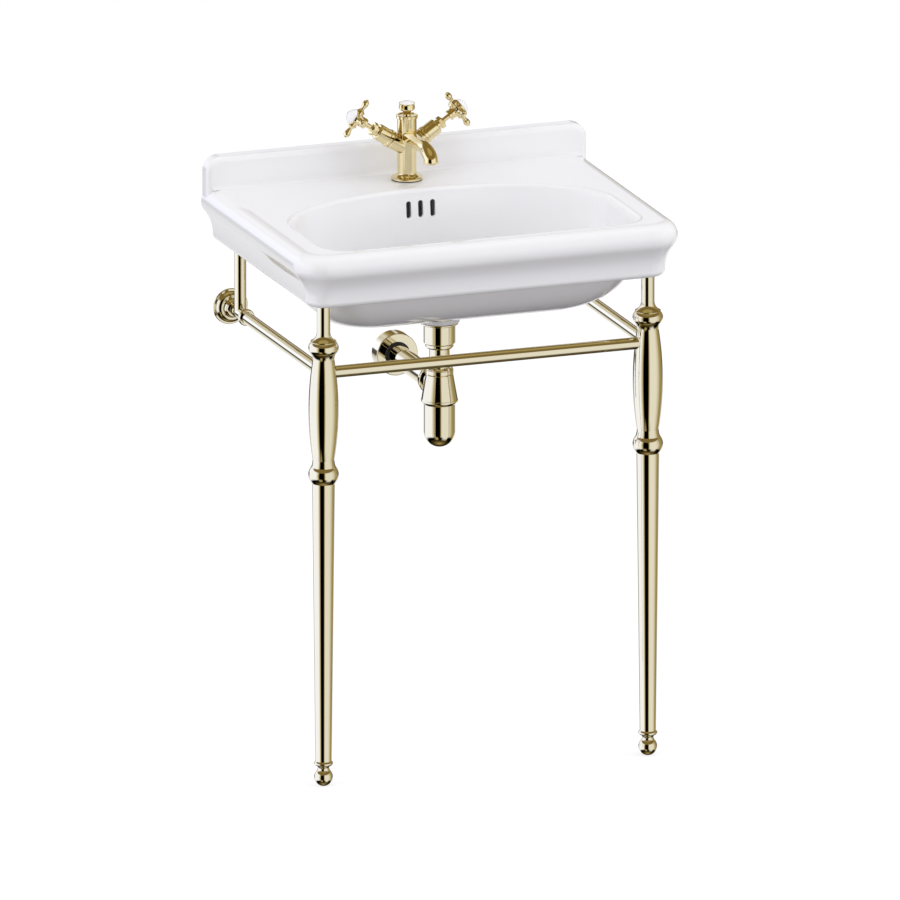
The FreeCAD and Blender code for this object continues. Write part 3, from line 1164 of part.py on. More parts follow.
def tailpipe():
    """Pipe from the waste down into the trap, with its screwed collar."""
    top = SHROUD_BOTTOM
    bottom = WASTE_TUBE_BOTTOM - TAILPIPE_COLLAR_FLOOR
    collar = TAILPIPE_COLLAR_RADIUS
    bore = TAILPIPE_RADIUS - TUBE_WALL
    body = turned([(WASTE_TUBE_RADIUS + SLIP, top), (WASTE_TUBE_RADIUS + SLIP, WASTE_TUBE_BOTTOM),
                   (bore, WASTE_TUBE_BOTTOM), (bore, DIP_TUBE_BOTTOM), (TAILPIPE_RADIUS, DIP_TUBE_BOTTOM),
                   (TAILPIPE_RADIUS, bottom), (collar - 3, bottom), (collar - 0.5, bottom + 1.5, True),
                   (collar, bottom + 3.4), (collar, top - 1), (collar - 1, top)])
    return moved(body, 0, WASTE_Y)


# --------------------------------------------------------------- bottle trap
def trap_nut():
    """Nut that holds the tailpipe in the trap."""
    r = TRAP_NUT_RADIUS
    bore = TAILPIPE_RADIUS + FIT
    body = turned([(bore, TRAP_TOP), (r - 1.5, TRAP_TOP), (r, TRAP_TOP + 1.5), (r, TRAP_NUT_TOP - 4),
                   (r - 1.2, TRAP_NUT_TOP - 3.2, True), (r - 1, TRAP_NUT_TOP - 2.2), (r - 3, TRAP_NUT_TOP),
                   (bore, TRAP_NUT_TOP)])
    return moved(body, 0, WASTE_Y)


def trap_body():
    """Bell of the bottle trap with its side outlet."""
    wall = TRAP_WALL
    bell, neck = TRAP_BELL_RADIUS, TRAP_NUT_RADIUS - 0.5
    inner = TRAP_CUP_RADIUS - wall
    body = turned([(inner, TRAP_SEAM), (bell - 4, TRAP_SEAM), (bell - 3.2, TRAP_SEAM + 1),
                   (bell - 2.5, TRAP_SEAM + 1.6), (bell, TRAP_SEAM + 5, True), (bell - 0.6, TRAP_SEAM + 8),
                   (neck, TRAP_TOP - 1), (neck - 1, TRAP_TOP), (TAILPIPE_RADIUS + FIT, TRAP_TOP),
                   (TAILPIPE_RADIUS + FIT, TRAP_TOP - wall), (neck - wall, TRAP_TOP - wall - 2),
                   (inner, TRAP_SEAM + 12)])
    stub_end = OUTLET_NUT_START + OUTLET_NUT_LENGTH - OUTLET_NUT_LIP
    outlet = outlet_place(rod(OUTLET_PIPE_RADIUS + OUTLET_STUB_WALL, neck - wall, stub_end))
    nut_room = rod(TRAP_NUT_RADIUS + GAP, TRAP_TOP, TRAP_NUT_TOP, 0, WASTE_Y)
    inside = turned([(0, TRAP_SEAM - 1), (inner, TRAP_SEAM - 1), (inner, TRAP_SEAM + 12),
                     (neck - wall, TRAP_TOP - wall - 2), (0, TRAP_TOP - wall - 2)])
    outlet = outlet.cut([nut_room, moved(inside, 0, WASTE_Y)])
    socket = rod(OUTLET_PIPE_RADIUS + FIT, OUTLET_PIPE_START, OUTLET_NUT_START + OUTLET_NUT_LENGTH)
    way = rod(OUTLET_WAY_RADIUS, neck - wall - 4, OUTLET_NUT_START)
    body = joined([moved(body, 0, WASTE_Y), outlet])
    return body.cut([outlet_place(socket), outlet_place(way)])


def outlet_place(shape):
    """Copy of a shape made along Z, laid from the trap's axis towards the wall."""
    return aimed(shape, Y_AXIS, Vector(0, WASTE_Y, OUTLET_HEIGHT))


def trap_cup():
    """Removable cup with a round bottom."""
    r = TRAP_CUP_RADIUS
    inner = r - TRAP_WALL
    centre = TRAP_BOTTOM + r
    root = math.sqrt(0.5)
    body = turned([(0, TRAP_BOTTOM), (r * root, centre - r * root, True), (r, centre),
                   (r, TRAP_SEAM), (inner, TRAP_SEAM), (inner, centre),
                   (inner * root, centre - inner * root, True), (0, centre - inner)])
    return moved(body, 0, WASTE_Y)


def outlet_nut():
    """Ringed nut on the trap's side outlet."""
    start, end = OUTLET_NUT_START, OUTLET_NUT_START + OUTLET_NUT_LENGTH
    r = OUTLET_NUT_RADIUS
    neck = OUTLET_PIPE_RADIUS + OUTLET_STUB_WALL + FIT
    lip = OUTLET_NUT_LIP
    bore = OUTLET_PIPE_RADIUS + FIT
    body = turned([(neck, start), (r - 1, start), (r, start + 1), (r, start + 3),
                   (r - 1.4, start + 4), (r - 1.4, start + 5), (r, start + 6), (r, start + 8.4),
                   (r - 1.4, start + 9.4), (r - 2, end - 1.5), (r - 3.5, end), (bore, end),
                   (bore, end - lip), (neck, end - lip)])
    return outlet_place(body)


def outlet_pipe():
    """Pipe from the trap to the wall."""
    return outlet_place(tube(OUTLET_PIPE_RADIUS, OUTLET_PIPE_RADIUS - TUBE_WALL,
                             OUTLET_PIPE_START, WALL_Y - WASTE_Y))


def outlet_flange():
    """Deep drum-shaped cover flange against the wall."""
    r = OUTLET_FLANGE_RADIUS
    depth = OUTLET_FLANGE_DEPTH
    skin = 1.5
    body = turned([(r - skin, 0), (r, 0), (r, depth - 1.5), (r - 0.5, depth - 0.5, True), (r - 1.5, depth),
                   (OUTLET_RING_RADIUS + FIT, depth), (OUTLET_RING_RADIUS + FIT, depth - skin),
                   (r - skin, depth - skin)])
    return aimed(body, -Y_AXIS, Vector(0, WALL_Y, OUTLET_HEIGHT))


def outlet_ring():
    """Rubber ring that grips the pipe and centres the flange."""
    depth = OUTLET_FLANGE_DEPTH
    bore = OUTLET_PIPE_RADIUS + SLIP
    back = depth - OUTLET_RING_DEPTH
    body = turned([(bore, back), (OUTLET_RING_RADIUS, back), (OUTLET_RING_RADIUS, depth + 0.6),
                   (OUTLET_RING_RADIUS - 1, depth + 1.4), (bore, depth + 1.4)])
    return aimed(body, -Y_AXIS, Vector(0, WALL_Y, OUTLET_HEIGHT))


# ---------------------------------------------------------------------- build
def build():
    """Write every node."""
    os.makedirs("parts", exist_ok=True)
    save("basin", basin())
    for side in SIDES:
        save("front_" + side + "_baluster", baluster(side))
        save("front_" + side + "_leg", leg(side))
        save("front_" + side + "_foot", foot(side))
        save("rear_" + side + "_post", rear_post(side))
        save("rear_" + side + "_tee", tee(side))
        save("rear_" + side + "_flange", wall_flange(side))
        save(side + "_rail", side_rail(side))
    save("front_rail", front_rail())
    save("wall_plates", wall_plates())
    save("rail_grub_screws", grub_screws())
    save("levelling_screws", level_screws())
    save("support_pads", support_pads())

    save("tap_body", tap_body())
    save("tap_aerator", aerator())
    save("tap_base_gasket", base_gasket())
    save("tap_stud", tap_stud())
    under = -DECK_THICKNESS
    save("tap_rubber_washer", horseshoe(under, CLAMP_RUBBER))
    save("tap_horseshoe_washer", horseshoe(under - CLAMP_RUBBER, CLAMP_STEEL))
    save("tap_clamp_nut", clamp_nut())
    for side, name in (("left", "hot"), ("right", "cold")):
        save(name + "_bonnet", bonnet(side))
        save(name + "_gland_nut", gland_nut(side))
        save(name + "_cartridge", cartridge(side))
        save(name + "_spindle", spindle(side))
        save(name + "_handle", handle(side))
        save(name + "_index", index(side))

    save("lift_rod", lift_rod())
    save("lift_knob", lift_knob())
    save("lift_knob_index", knob_index())
    save("lift_strap", strap())
    save("strap_screw", strap_screw())
    save("pivot_rod", pivot_rod())
    save("pivot_nut", pivot_nut())
    save("waste_body", waste_body())
    save("waste_seals", waste_seals())
    save("waste_backnut", backnut())
    save("waste_shroud", shroud())
    save("popup_plug", plug())
    save("popup_plug_seal", plug_seal())
    save("tailpipe", tailpipe())

    save("trap_inlet_nut", trap_nut())
    save("trap_body", trap_body())
    save("trap_cup", trap_cup())
    save("trap_outlet_nut", outlet_nut())
    save("outlet_pipe", outlet_pipe())
    save("outlet_flange", outlet_flange())
    save("outlet_ring", outlet_ring())


build()
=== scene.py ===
import math

import bpy
import numpy as np
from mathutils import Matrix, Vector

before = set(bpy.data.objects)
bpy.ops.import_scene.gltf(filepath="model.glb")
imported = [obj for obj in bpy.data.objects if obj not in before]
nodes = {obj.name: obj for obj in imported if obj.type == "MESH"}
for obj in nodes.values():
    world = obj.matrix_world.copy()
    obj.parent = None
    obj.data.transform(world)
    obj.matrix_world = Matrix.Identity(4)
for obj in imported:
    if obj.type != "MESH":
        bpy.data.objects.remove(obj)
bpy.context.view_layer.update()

# ---------------------------------------------------------------- the studio
# The basin stands on a plain pale floor in a white studio. The camera looks
# from the front, a little from the left and above, without perspective.
CAMERA_AZIMUTH = math.radians(-20.0)
CAMERA_RISE = 15.14  # degrees above level
CAMERA_ELEVATION = math.radians(CAMERA_RISE)
CAMERA_TARGET = np.array([0.01014, 0.0, 0.4794])
CAMERA_WIDTH = 1.4384  # across the picture, in metres
CAMERA_DISTANCE = 4.0
CAMERA_CLIP = 20.0

view_direction = np.array([-math.sin(CAMERA_AZIMUTH) * math.cos(CAMERA_ELEVATION),
                           math.cos(CAMERA_AZIMUTH) * math.cos(CAMERA_ELEVATION),
                           -math.sin(CAMERA_ELEVATION)])
camera_data = bpy.data.cameras.new("camera")
camera_data.type = "ORTHO"
camera_data.ortho_scale = CAMERA_WIDTH
camera_data.clip_end = CAMERA_CLIP
camera = bpy.data.objects.new("camera", camera_data)
camera.location = CAMERA_TARGET - view_direction * CAMERA_DISTANCE
camera.rotation_euler = (math.pi / 2 - CAMERA_ELEVATION, 0, CAMERA_AZIMUTH)
bpy.context.scene.collection.objects.link(camera)
bpy.context.scene.camera = camera
bpy.context.scene.view_settings.view_transform = "Standard"


def link(tree, source, socket):
    """Joins an output, or a plain number or (red, green, blue) colour, to an input socket."""
    if isinstance(source, bpy.types.NodeSocket):
        tree.links.new(source, socket)
    elif socket.type == "RGBA":
        socket.default_value = (*source, 1.0)
    else:
        socket.default_value = source


def maths(tree, operation, *values):
    """One Math node worked on outputs or plain numbers."""
    node = tree.nodes.new("ShaderNodeMath")
    node.operation = operation
    for value, socket in zip(values, node.inputs):
        link(tree, value, socket)
    return node.outputs[0]


def axes(tree, vector):
    """The X, Y and Z of a vector, as outputs by name."""
    node = tree.nodes.new("ShaderNodeSeparateXYZ")
    link(tree, vector, node.inputs[0])
    return node.outputs


def blend_colours(tree, share, first, second):
    """One Mix node that goes from the first colour to the second as share goes from 0 to 1."""
    node = tree.nodes.new("ShaderNodeMix")
    node.data_type = "RGBA"
    link(tree, share, node.inputs["Factor"])
    link(tree, first, node.inputs["A"])
    link(tree, second, node.inputs["B"])
    return node.outputs["Result"]


def ramp(tree, value, stops):
    """Colour ramp through (place, colour) stops."""
    node = tree.nodes.new("ShaderNodeValToRGB")
    link(tree, value, node.inputs["Fac"])
    elements = node.color_ramp.elements
    while len(elements) < len(stops):
        elements.new(0.5)
    for element, (place, colour) in zip(elements, stops):
        element.position = place
        element.color = (*colour, 1.0)
    return node.outputs["Color"]


# What polished metal and glaze see round them: a bright box on the left, a paler
# one on the right, a dark gap beside the camera, dim warm parts overhead and
# behind, and hardly anything below. Degrees are right of the camera and above level.
BOX_LIGHT = (1.20, 1.27, 1.56)
PALE = (1.0, 1.0, 1.0)
BUFF = (0.70, 0.65, 0.48)
OLIVE = (0.46, 0.38, 0.18)
BROWN = (0.24, 0.17, 0.055)
UMBER = (0.20, 0.14, 0.04)
SHADE = (0.10, 0.095, 0.09)
BLACK = (0.0, 0.0, 0.0)
WHITE = (1.0, 1.0, 1.0)
HEADROOM = 2.0  # a colour ramp stops at 1, so brighter colours are halved in it

world = bpy.data.worlds.new("studio")
bpy.context.scene.world = world
world.use_nodes = True
room = world.node_tree
room.nodes.clear()
way = axes(room, room.nodes.new("ShaderNodeTexCoord").outputs["Generated"])
sine, cosine = math.sin(CAMERA_AZIMUTH), math.cos(CAMERA_AZIMUTH)
to_right = maths(room, "ADD", maths(room, "MULTIPLY", way["X"], cosine),
                 maths(room, "MULTIPLY", way["Y"], sine))
to_camera = maths(room, "SUBTRACT", maths(room, "MULTIPLY", way["X"], sine),
                  maths(room, "MULTIPLY", way["Y"], cosine))
turn = maths(room, "ARCTAN2", to_right, to_camera)
around = maths(room, "MULTIPLY_ADD", turn, 0.5 / math.pi, 0.5)
height = maths(room, "MULTIPLY_ADD", maths(room, "ARCSINE", way["Z"]), 1 / math.pi, 0.5)


def halved(colour):
    """A studio colour as the ramps hold it."""
    return tuple(np.array(colour) / HEADROOM)


def round_place(degrees):
    """Place on a ramp round the room, which starts and ends straight behind."""
    return 0.5 + degrees / 360.0


def up_place(degrees):
    """Place on a ramp from straight down to straight up."""
    return 0.5 + degrees / 180.0


def round_room(stops):
    """Studio colours by degrees right of the camera."""
    return ramp(room, around, [(round_place(degrees), halved(colour)) for degrees, colour in stops])


def up_room(stops):
    """Studio colours by degrees above level."""
    return ramp(room, height, [(up_place(degrees), halved(colour)) for degrees, colour in stops])


def share_round(stops):
    """Share by degrees right of the camera, through (degrees, BLACK for 0 or WHITE for 1)."""
    return ramp(room, around, [(round_place(degrees), share) for degrees, share in stops])


def share_up(low, high):
    """Share that goes from 0 to 1 between two heights in degrees."""
    return ramp(room, height, [(up_place(low), BLACK), (up_place(high), WHITE)])


wall = round_room([
    # the dark back, which pales to the left
    (-180, UMBER), (-172, BROWN), (-165, (0.36, 0.29, 0.12)), (-161, (0.50, 0.45, 0.30)),
    (-157, (0.80, 0.78, 0.70)), (-152, (0.88, 0.87, 0.82)), (-148, (0.74, 0.72, 0.67)),
    # the bright box on the left
    (-143, (0.88, 0.88, 0.88)), (-138, (1.30, 1.40, 1.80)), (-120, BOX_LIGHT),
    (-60, BOX_LIGHT), (-53, PALE), (-46, (0.84, 0.79, 0.64)), (-40, (0.52, 0.45, 0.28)),
    # the dark gap beside the camera
    (-35, (0.15, 0.11, 0.05)), (-31, BLACK), (4, BLACK), (8, BROWN),
    # the paler box on the right, and the warm dimness beyond it
    (13, BUFF), (18, PALE), (68, PALE), (75, (0.90, 0.88, 0.82)), (90, (0.76, 0.72, 0.58)),
    (104, OLIVE), (128, (0.38, 0.30, 0.12)), (160, (0.30, 0.23, 0.09)), (180, UMBER)])

# Behind, the wall is dark just below level and pale again lower down.
behind = share_round([(-134, WHITE), (-130, BLACK), (136, BLACK), (144, WHITE)])
low_behind = maths(room, "MULTIPLY", behind, maths(room, "SUBTRACT", 1.0, share_up(-5, -2)))
skirting = up_room([(-24, PALE), (-19, (0.80, 0.80, 0.80)), (-15.5, (0.50, 0.50, 0.50)),
                    (-13.5, SHADE), (-5, SHADE)])
seen = blend_colours(room, low_behind, wall, skirting)

# The walls give way to the ceiling above, and to the floor below, which starts
# lower in front of the camera's right.
ceiling = up_room([(42, BROWN), (60, BROWN), (68, OLIVE)])
seen = blend_colours(room, share_up(25, 33), seen, ceiling)
in_front = share_round([(18, BLACK), (34, WHITE), (64, WHITE), (80, BLACK)])
above_floor = blend_colours(room, in_front, share_up(-38, -29), share_up(-61, -41))
below = up_room([(-90, OLIVE), (-74, (0.20, 0.145, 0.05)), (-62, (0.06, 0.043, 0.013)),
                 (-48, BLACK)])
seen = blend_colours(room, above_floor, below, seen)


def patch(at_turn, at_height, reach, colour, under):
    """Round patch of one colour over the colour under it, soft at its rim.

    The cosine of the angle to its middle is that middle's unit vector times the
    direction looked in; it runs from the cosine of the reach to that of its core.
    """
    side, up = math.radians(at_turn), math.radians(at_height)
    level = maths(room, "MULTIPLY_ADD", to_camera, math.cos(up) * math.cos(side),
                  maths(room, "MULTIPLY", way["Z"], math.sin(up)))
    nearness = maths(room, "ADD", level,
                     maths(room, "MULTIPLY", to_right, math.cos(up) * math.sin(side)))
    rim, core = math.cos(math.radians(reach)), math.cos(math.radians(reach * 0.6))
    return blend_colours(room, ramp(room, nearness, [(rim, BLACK), (core, WHITE)]),
                         under, halved(colour))


# A small warm gleam below the camera shows in everything round, and the level
# deck mirrors one soft pale window behind.
GLEAM_TURN, GLEAM_HEIGHT, GLEAM_REACH = -25, -42, 14
WINDOW_TURN, WINDOW_REACH, WINDOW_LIGHT = 180, 2.5, (0.84, 0.84, 0.86)
seen = patch(GLEAM_TURN, GLEAM_HEIGHT, GLEAM_REACH, OLIVE, seen)
seen = patch(WINDOW_TURN, CAMERA_RISE, WINDOW_REACH, WINDOW_LIGHT, seen)
seen_in_gloss = room.nodes.new("ShaderNodeVectorMath")
seen_in_gloss.operation = "SCALE"
seen_in_gloss.inputs["Scale"].default_value = HEADROOM
link(room, seen, seen_in_gloss.inputs[0])

# Matt light comes softly from all round, a little more from above, and the
# camera sees plain white.
LEVEL_LIGHT = (0.61, 0.605, 0.625)
HIGH_LIGHT = (0.84, 0.835, 0.855)
path = room.nodes.new("ShaderNodeLightPath").outputs
ambient = ramp(room, height, [(up_place(0), LEVEL_LIGHT), (up_place(90), HIGH_LIGHT)])
light = blend_colours(room, path["Is Glossy Ray"], ambient, seen_in_gloss.outputs[0])
shown_white = maths(room, "MAXIMUM", path["Is Camera Ray"], path["Is Transmission Ray"])
background = room.nodes.new("ShaderNodeBackground")
link(room, blend_colours(room, shown_white, light, WHITE), background.inputs["Color"])
link(room, background.outputs[0], room.nodes.new("ShaderNodeOutputWorld").inputs["Surface"])

# Three square softboxes are aimed at the basin, themselves out of sight. Each has
# its name, place, side in metres and power in watts.
LAMP_AIM = Vector((0, 0, 0.8))
for name, place, side, power in (("left_box", (-5.5, -1.9, 2.4), 3.4, 130),
                                 ("right_box", (5.4, -2.2, 1.9), 3.4, 155),
                                 ("top_box", (0.4, -1.2, 4.6), 3.0, 25)):
    box_data = bpy.data.lights.new(name, "AREA")
    box_data.shape = "SQUARE"
    box_data.size = side
    box_data.energy = power
    box = bpy.data.objects.new(name, box_data)
    box.location = place
    box.rotation_euler = (LAMP_AIM - Vector(place)).to_track_quat("-Z", "Y").to_euler()
    box.visible_camera = False
    box.visible_glossy = False
    bpy.context.scene.collection.objects.link(box)

# The floor is a pale sheet that the feet darken a little where they stand.
FLOOR_REACH = 6.0
FLOOR_TONE = (0.38, 0.375, 0.39)
FLOOR_GLOW = 0.69  # added for the camera, which makes the lit sheet white
floor_mesh = bpy.data.meshes.new("floor")
floor_mesh.from_pydata([(-FLOOR_REACH, -FLOOR_REACH, 0), (FLOOR_REACH, -FLOOR_REACH, 0),
                        (FLOOR_REACH, FLOOR_REACH, 0), (-FLOOR_REACH, FLOOR_REACH, 0)],
                       [], [(0, 1, 2, 3)])
floor = bpy.data.objects.new("floor", floor_mesh)
bpy.context.scene.collection.objects.link(floor)
floor.visible_glossy = False
floor_paint = bpy.data.materials.new("floor_paint")
floor_paint.use_nodes = True
sheet = floor_paint.node_tree
sheet.nodes.clear()
matt = sheet.nodes.new("ShaderNodeBsdfDiffuse")
link(sheet, FLOOR_TONE, matt.inputs["Color"])
glow = sheet.nodes.new("ShaderNodeEmission")
link(sheet, WHITE, glow.inputs["Color"])
floor_path = sheet.nodes.new("ShaderNodeLightPath").outputs
link(sheet, maths(sheet, "MULTIPLY", floor_path["Is Camera Ray"], FLOOR_GLOW),
     glow.inputs["Strength"])
both = sheet.nodes.new("ShaderNodeAddShader")
link(sheet, matt.outputs[0], both.inputs[0])
link(sheet, glow.outputs[0], both.inputs[1])
link(sheet, both.outputs[0], sheet.nodes.new("ShaderNodeOutputMaterial").inputs["Surface"])
floor_mesh.materials.append(floor_paint)

# ----------------------------------------------------------------- the basin
# The basin is one slip casting of vitreous china, bolted to the wall and held up
# in front by the legs. Its glaze is thick and glossy, with the faint unevenness
# that it sets to in the kiln.
GLAZE_WHITES = (0.885, 0.885, 0.895), (0.87, 0.87, 0.885)
GLAZE_DRIFT = 3.0
GLAZE_ROUGHNESS = 0.02, 0.06  # clean and most handled
GLAZE_IOR = 1.52
GLAZE_WAVES, GLAZE_WAVE_STRENGTH, GLAZE_WAVE_DEPTH = 9.0, 0.10, 0.002
GLAZE_MARKS = 5.0


def new_group(name, inputs, outputs):
    """Empty shader group with named number or colour sockets."""
    group = bpy.data.node_groups.new(name, "ShaderNodeTree")
    for label, kind, value in inputs:
        socket = group.interface.new_socket(name=label, in_out="INPUT", socket_type=kind)
        socket.default_value = value
    for label, kind in outputs:
        group.interface.new_socket(name=label, in_out="OUTPUT", socket_type=kind)
    return (group, group.nodes.new("NodeGroupInput").outputs,
            group.nodes.new("NodeGroupOutput").inputs)


def on_piece(tree):
    """Place on the piece, in its own coordinates."""
    return tree.nodes.new("ShaderNodeTexCoord").outputs["Object"]


def noise(tree, vector, scale, detail=3.0, roughness=0.5):
    """Noise texture on a vector, as its grey value."""
    node = tree.nodes.new("ShaderNodeTexNoise")
    link(tree, vector, node.inputs["Vector"])
    link(tree, scale, node.inputs["Scale"])
    node.inputs["Detail"].default_value = detail
    node.inputs["Roughness"].default_value = roughness
    return node.outputs["Fac"]


def rise(tree, value, low, high):
    """Share that goes from 0 at the low value to 1 at the high one."""
    node = tree.nodes.new("ShaderNodeMapRange")
    link(tree, value, node.inputs["Value"])
    node.inputs["From Min"].default_value = low
    node.inputs["From Max"].default_value = high
    return node.outputs["Result"]


# Handling marks: soft cloudy smears with finer streaks in them, 0 where the
# surface is clean and 1 where it is most rubbed.
STREAK_STRETCH = (7.0, 9.0, 1.2)
STREAK_FINENESS = 3.0  # times the clouds' scale
STREAK_SHARE, CLOUD_SHARE = 0.45, 0.55
CLEAN, MOST_RUBBED = 0.42, 0.72
handling, handling_in, handling_out = new_group(
    "handling_marks", [("Scale", "NodeSocketFloat", 9.0)], [("Marks", "NodeSocketFloat")])
place = on_piece(handling)
clouds = noise(handling, place, handling_in["Scale"], detail=4.0)
streak_place = handling.nodes.new("ShaderNodeVectorMath")
streak_place.operation = "MULTIPLY"
link(handling, place, streak_place.inputs[0])
link(handling, STREAK_STRETCH, streak_place.inputs[1])
streak_scale = maths(handling, "MULTIPLY", handling_in["Scale"], STREAK_FINENESS)
streaks = noise(handling, streak_place.outputs[0], streak_scale, detail=5.0, roughness=0.65)
smears = maths(handling, "MULTIPLY_ADD", streaks, STREAK_SHARE,
               maths(handling, "MULTIPLY", clouds, CLOUD_SHARE))
link(handling, rise(handling, smears, CLEAN, MOST_RUBBED), handling_out["Marks"])


def principled(name):
    """New material with a Principled shader, and its tree and inputs."""
    material = bpy.data.materials.new(name)
    material.use_nodes = True
    return material, material.node_tree, material.node_tree.nodes["Principled BSDF"].inputs


def handling_marks(tree, scale):
    """Handling marks in a material, at its own scale."""
    node = tree.nodes.new("ShaderNodeGroup")
    node.node_tree = handling
    link(tree, scale, node.inputs["Scale"])
    return node.outputs["Marks"]


def between(tree, share, low, high):
    """Value that goes from low to high as share goes from 0 to 1."""
    return maths(tree, "MULTIPLY_ADD", share, high - low, low)


def bump(tree, height, strength, distance):
    """Normal from a height."""
    node = tree.nodes.new("ShaderNodeBump")
    node.inputs["Strength"].default_value = strength
    node.inputs["Distance"].default_value = distance
    link(tree, height, node.inputs["Height"])
    return node.outputs["Normal"]


glaze, tree, shader = principled("white_glaze")
place = on_piece(tree)
body_tint = blend_colours(tree, noise(tree, place, GLAZE_DRIFT), *GLAZE_WHITES)
handled = between(tree, handling_marks(tree, GLAZE_MARKS), *GLAZE_ROUGHNESS)
shader["IOR"].default_value = GLAZE_IOR
waves = noise(tree, place, GLAZE_WAVES, detail=1.0)
link(tree, bump(tree, waves, GLAZE_WAVE_STRENGTH, GLAZE_WAVE_DEPTH), shader["Normal"])

# Inside the overflow duct behind the three slots the china is painted dark, a painted shade for the
# deep duct that never sees light, and it is rough like bare china.
DUCT_SIDES, DUCT_DEPTHS, DUCT_HEIGHTS = (-0.028, 0.028), (0.1128, 0.1295), (0.820, 0.868)
DUCT_SOFT = 0.0015
# Colour of the painted shade inside the duct
DUCT_PAINTED_SHADE = (0.11, 0.11, 0.117)
DUCT_ROUGHNESS = 0.8


def within(tree, value, low, high, soft):
    """Share that is 1 between two values and falls to 0 over a soft edge outside them."""
    return maths(tree, "MULTIPLY", rise(tree, value, low - soft, low),
                 rise(tree, value, high + soft, high))


xyz = axes(tree, place)
in_painted_dark_duct = maths(tree, "MULTIPLY", within(tree, xyz["Y"], *DUCT_DEPTHS, DUCT_SOFT),
                maths(tree, "MULTIPLY", within(tree, xyz["X"], *DUCT_SIDES, DUCT_SOFT),
                      within(tree, xyz["Z"], *DUCT_HEIGHTS, DUCT_SOFT)))
# Painted shade: inside the duct the glaze colour turns to the dark duct colour.
link(tree, blend_colours(tree, in_painted_dark_duct, body_tint, DUCT_PAINTED_SHADE), shader["Base Color"])
bare = maths(tree, "MULTIPLY", in_painted_dark_duct, DUCT_ROUGHNESS)
link(tree, maths(tree, "MAXIMUM", handled, bare), shader["Roughness"])

# Mirrored, only the china's upper faces show: the tap carries the pale deck in
# it, while the rails and the trap below show the studio and each other.
UPWARD = 0.08  # upright share of the normal, above which a face is an upper one
UPSTAND_FOOT = 0.88
face = tree.nodes.new("ShaderNodeNewGeometry").outputs
upper = maths(tree, "MAXIMUM",
              maths(tree, "GREATER_THAN", axes(tree, face["Normal"])["Z"], UPWARD),
              maths(tree, "GREATER_THAN", xyz["Z"], UPSTAND_FOOT))
shown = maths(tree, "MULTIPLY", upper, maths(tree, "SUBTRACT", 1.0, face["Backfacing"]))
china = tree.nodes["Principled BSDF"].outputs[0]
clear = tree.nodes.new("ShaderNodeBsdfTransparent").outputs[0]


def mix_shaders(tree, share, first, second):
    """One Mix Shader node that goes from the first shader to the second as share rises to 1."""
    node = tree.nodes.new("ShaderNodeMixShader")
    for source, socket in zip((share, first, second), node.inputs):
        tree.links.new(source, socket)
    return node.outputs[0]


def dress(material, *names):
    """Gives CAD pieces their material."""
    for name in names:
        for slot in nodes[name].material_slots:
            slot.material = material


mirrored = tree.nodes.new("ShaderNodeLightPath").outputs["Is Glossy Ray"]
mirrored_china = mix_shaders(tree, shown, clear, china)
link(tree, mix_shaders(tree, mirrored, china, mirrored_china),
     tree.nodes["Material Output"].inputs["Surface"])
dress(glaze, "basin")

# ------------------------------------------------------------ the front legs
# Each front leg is three pieces of turned brass screwed end to end: a baluster
# with its plain post, a tapered tube and a ball foot. They are polished and
# plated in pale gold.
PLATE_DRIFT = 6.0
PLATE_MARKS = 14.0
PLATE_ROUGHNESS = 0.02, 0.06


def plated(name, fresh, worn):
    """Polished plate that drifts between two tints and is duller where it is handled."""
    material, tree, shader = principled(name)
    drift = noise(tree, on_piece(tree), PLATE_DRIFT)
    link(tree, blend_colours(tree, drift, fresh, worn), shader["Base Color"])
    shader["Metallic"].default_value = 1.0
    marks = handling_marks(tree, PLATE_MARKS)
    link(tree, between(tree, marks, *PLATE_ROUGHNESS), shader["Roughness"])
    return material


gold = plated("pale_gold_plate", (0.765, 0.705, 0.525), (0.74, 0.68, 0.505))
SIDES = "left", "right"
for side in SIDES:
    dress(gold, f"front_{side}_baluster", f"front_{side}_leg", f"front_{side}_foot")

# ----------------------------------------------------------------- the rails
# The rails are drawn brass tube in the same plate. One joins the two balusters,
# and one on each side runs from a baluster back to the collar at the wall.
dress(gold, "front_rail", "left_rail", "right_rail")

# ---------------------------------------------------------- the rear supports
# On each side a level brass tee stands out from the wall, with a cast collar for
# the rail and an upright post on it under the basin. A turned cover flange
# slides over the tee against the wall.
for side in SIDES:
    dress(gold, f"rear_{side}_tee", f"rear_{side}_post", f"rear_{side}_flange")

# ------------------------------------------------------ the stand's fixings
# Zinc-plated steel that nobody sees: plates screwed to the wall under the
# flanges, set screws in the collars and levelling screws in the four uprights.
# Pads of black rubber keep these off the china.
ZINC_TINTS = (0.60, 0.61, 0.63), (0.46, 0.46, 0.46)
ZINC_MARKS = 30.0
ZINC_ROUGHNESS = 0.28, 0.5
zinc, tree, shader = principled("zinc_plate")
marks = handling_marks(tree, ZINC_MARKS)
link(tree, blend_colours(tree, marks, *ZINC_TINTS), shader["Base Color"])
shader["Metallic"].default_value = 1.0
link(tree, between(tree, marks, *ZINC_ROUGHNESS), shader["Roughness"])
dress(zinc, "wall_plates", "rail_grub_screws", "levelling_screws")


def moulded(name, grain_scale, detail, tints, roughness):
    """Moulded rubber or plastic with a fine grain in its tint and gloss."""
    material, tree, shader = principled(name)
    grain = noise(tree, on_piece(tree), grain_scale, detail=detail)
    link(tree, blend_colours(tree, grain, *tints), shader["Base Color"])
    link(tree, between(tree, grain, *roughness), shader["Roughness"])
    return material, tree, shader, grain


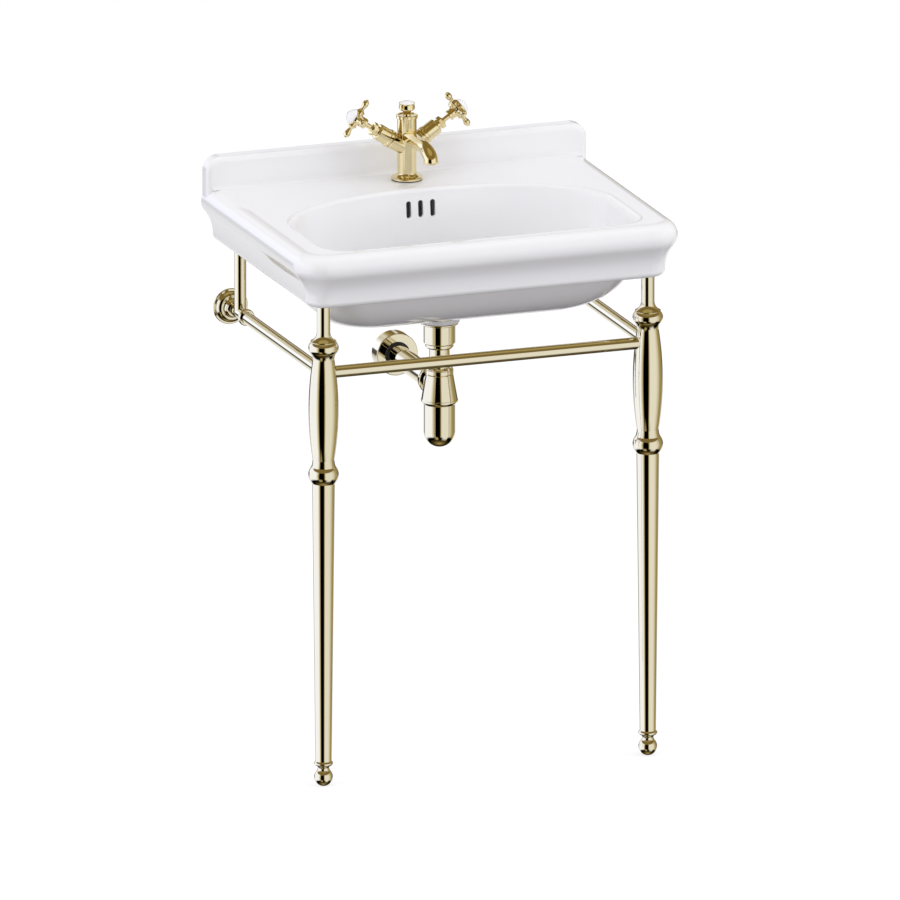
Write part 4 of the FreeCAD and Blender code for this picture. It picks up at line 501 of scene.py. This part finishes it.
RUBBER_GRAIN_STRENGTH, RUBBER_GRAIN_DEPTH = 0.25, 0.0005
rubber, tree, shader, grain = moulded("black_rubber", 900.0, 2.0,
                                      ((0.018, 0.018, 0.019), (0.035, 0.035, 0.036)), (0.5, 0.75))
link(tree, bump(tree, grain, RUBBER_GRAIN_STRENGTH, RUBBER_GRAIN_DEPTH), shader["Normal"])
dress(rubber, "support_pads")

# ------------------------------------------------------------------- the tap
# The mixer's column, arms and spout are one brass casting, polished and plated like the stand. It
# is dressed in a warmer, brighter copy of the stand's plate.
warm_gold = plated("warm_gold_plate", (0.88, 0.76, 0.46), (0.85, 0.73, 0.43))
dress(warm_gold, "tap_body")

# A moulded insert with a ring of jets is pressed into the nozzle.
nozzle_plastic, *_ = moulded("nozzle_plastic", 700.0, 3.0,
                             ((0.62, 0.62, 0.60), (0.70, 0.70, 0.68)), (0.35, 0.5))
dress(nozzle_plastic, "tap_aerator")

# --------------------------------------------------------- the tap's fixings
# A threaded steel stud and a brass nut pull the tap down on the deck. Rubber
# rings lie on both sides of the china, with an open steel washer under them.
dress(zinc, "tap_stud", "tap_horseshoe_washer")
dress(rubber, "tap_base_gasket", "tap_rubber_washer")
dress(gold, "tap_clamp_nut")

# ---------------------------------------------------------------- the valves
# Each arm holds a brass cartridge with its spindle, under a turned cover and an
# eight-sided nut, all screwed in from the arm's end and plated like the tap.
VALVES = "hot", "cold"
for valve in VALVES:
    dress(warm_gold, f"{valve}_cartridge", f"{valve}_spindle", f"{valve}_bonnet",
          f"{valve}_gland_nut")

# --------------------------------------------------------------- the handles
# A cross handle with four turned arms fits on each spindle's square end. A domed
# button of plain white china, glazed like the basin, closes its hub.
for valve in VALVES:
    dress(warm_gold, f"{valve}_handle")
    dress(glaze, f"{valve}_index")

# -------------------------------------------------------------- the lift rod
# The plated lift rod runs down through the tap and the deck. The turned knob on
# its top holds a third china button.
dress(warm_gold, "lift_rod", "lift_knob")
dress(glaze, "lift_knob_index")

# ---------------------------------------------------------- the pop-up lever
# Under the deck a flat steel strap hangs from the rod, held by a thumb screw. It
# rocks a plated brass lever, whose ball a ring nut keeps in the waste's port.
dress(zinc, "lift_strap", "strap_screw")
dress(gold, "pivot_rod", "pivot_nut")

# ----------------------------------------------------------------- the waste
# The waste is a flanged brass tube clamped to the bowl between two rubber rings
# by its back nut, inside a plain sleeve. Its plug lifts out and closes on a
# rubber ring of its own.
dress(gold, "waste_body", "waste_backnut", "waste_shroud", "popup_plug")
dress(rubber, "waste_seals", "popup_plug_seal")

# ------------------------------------------------------------------ the trap
# The bottle trap is turned brass with a bell above and a cup that unscrews
# below, held on the tailpipe by a nut. Polished, and plated in pale gold.
dress(gold, "tailpipe", "trap_inlet_nut", "trap_body", "trap_cup")

# ---------------------------------------------------------------- the outlet
# A ringed nut joins the plated outlet pipe to the trap's side. At the wall the
# pipe goes through a deep spun flange, which a black rubber ring centres.
dress(gold, "trap_outlet_nut", "outlet_pipe", "outlet_flange")
dress(rubber, "outlet_ring")
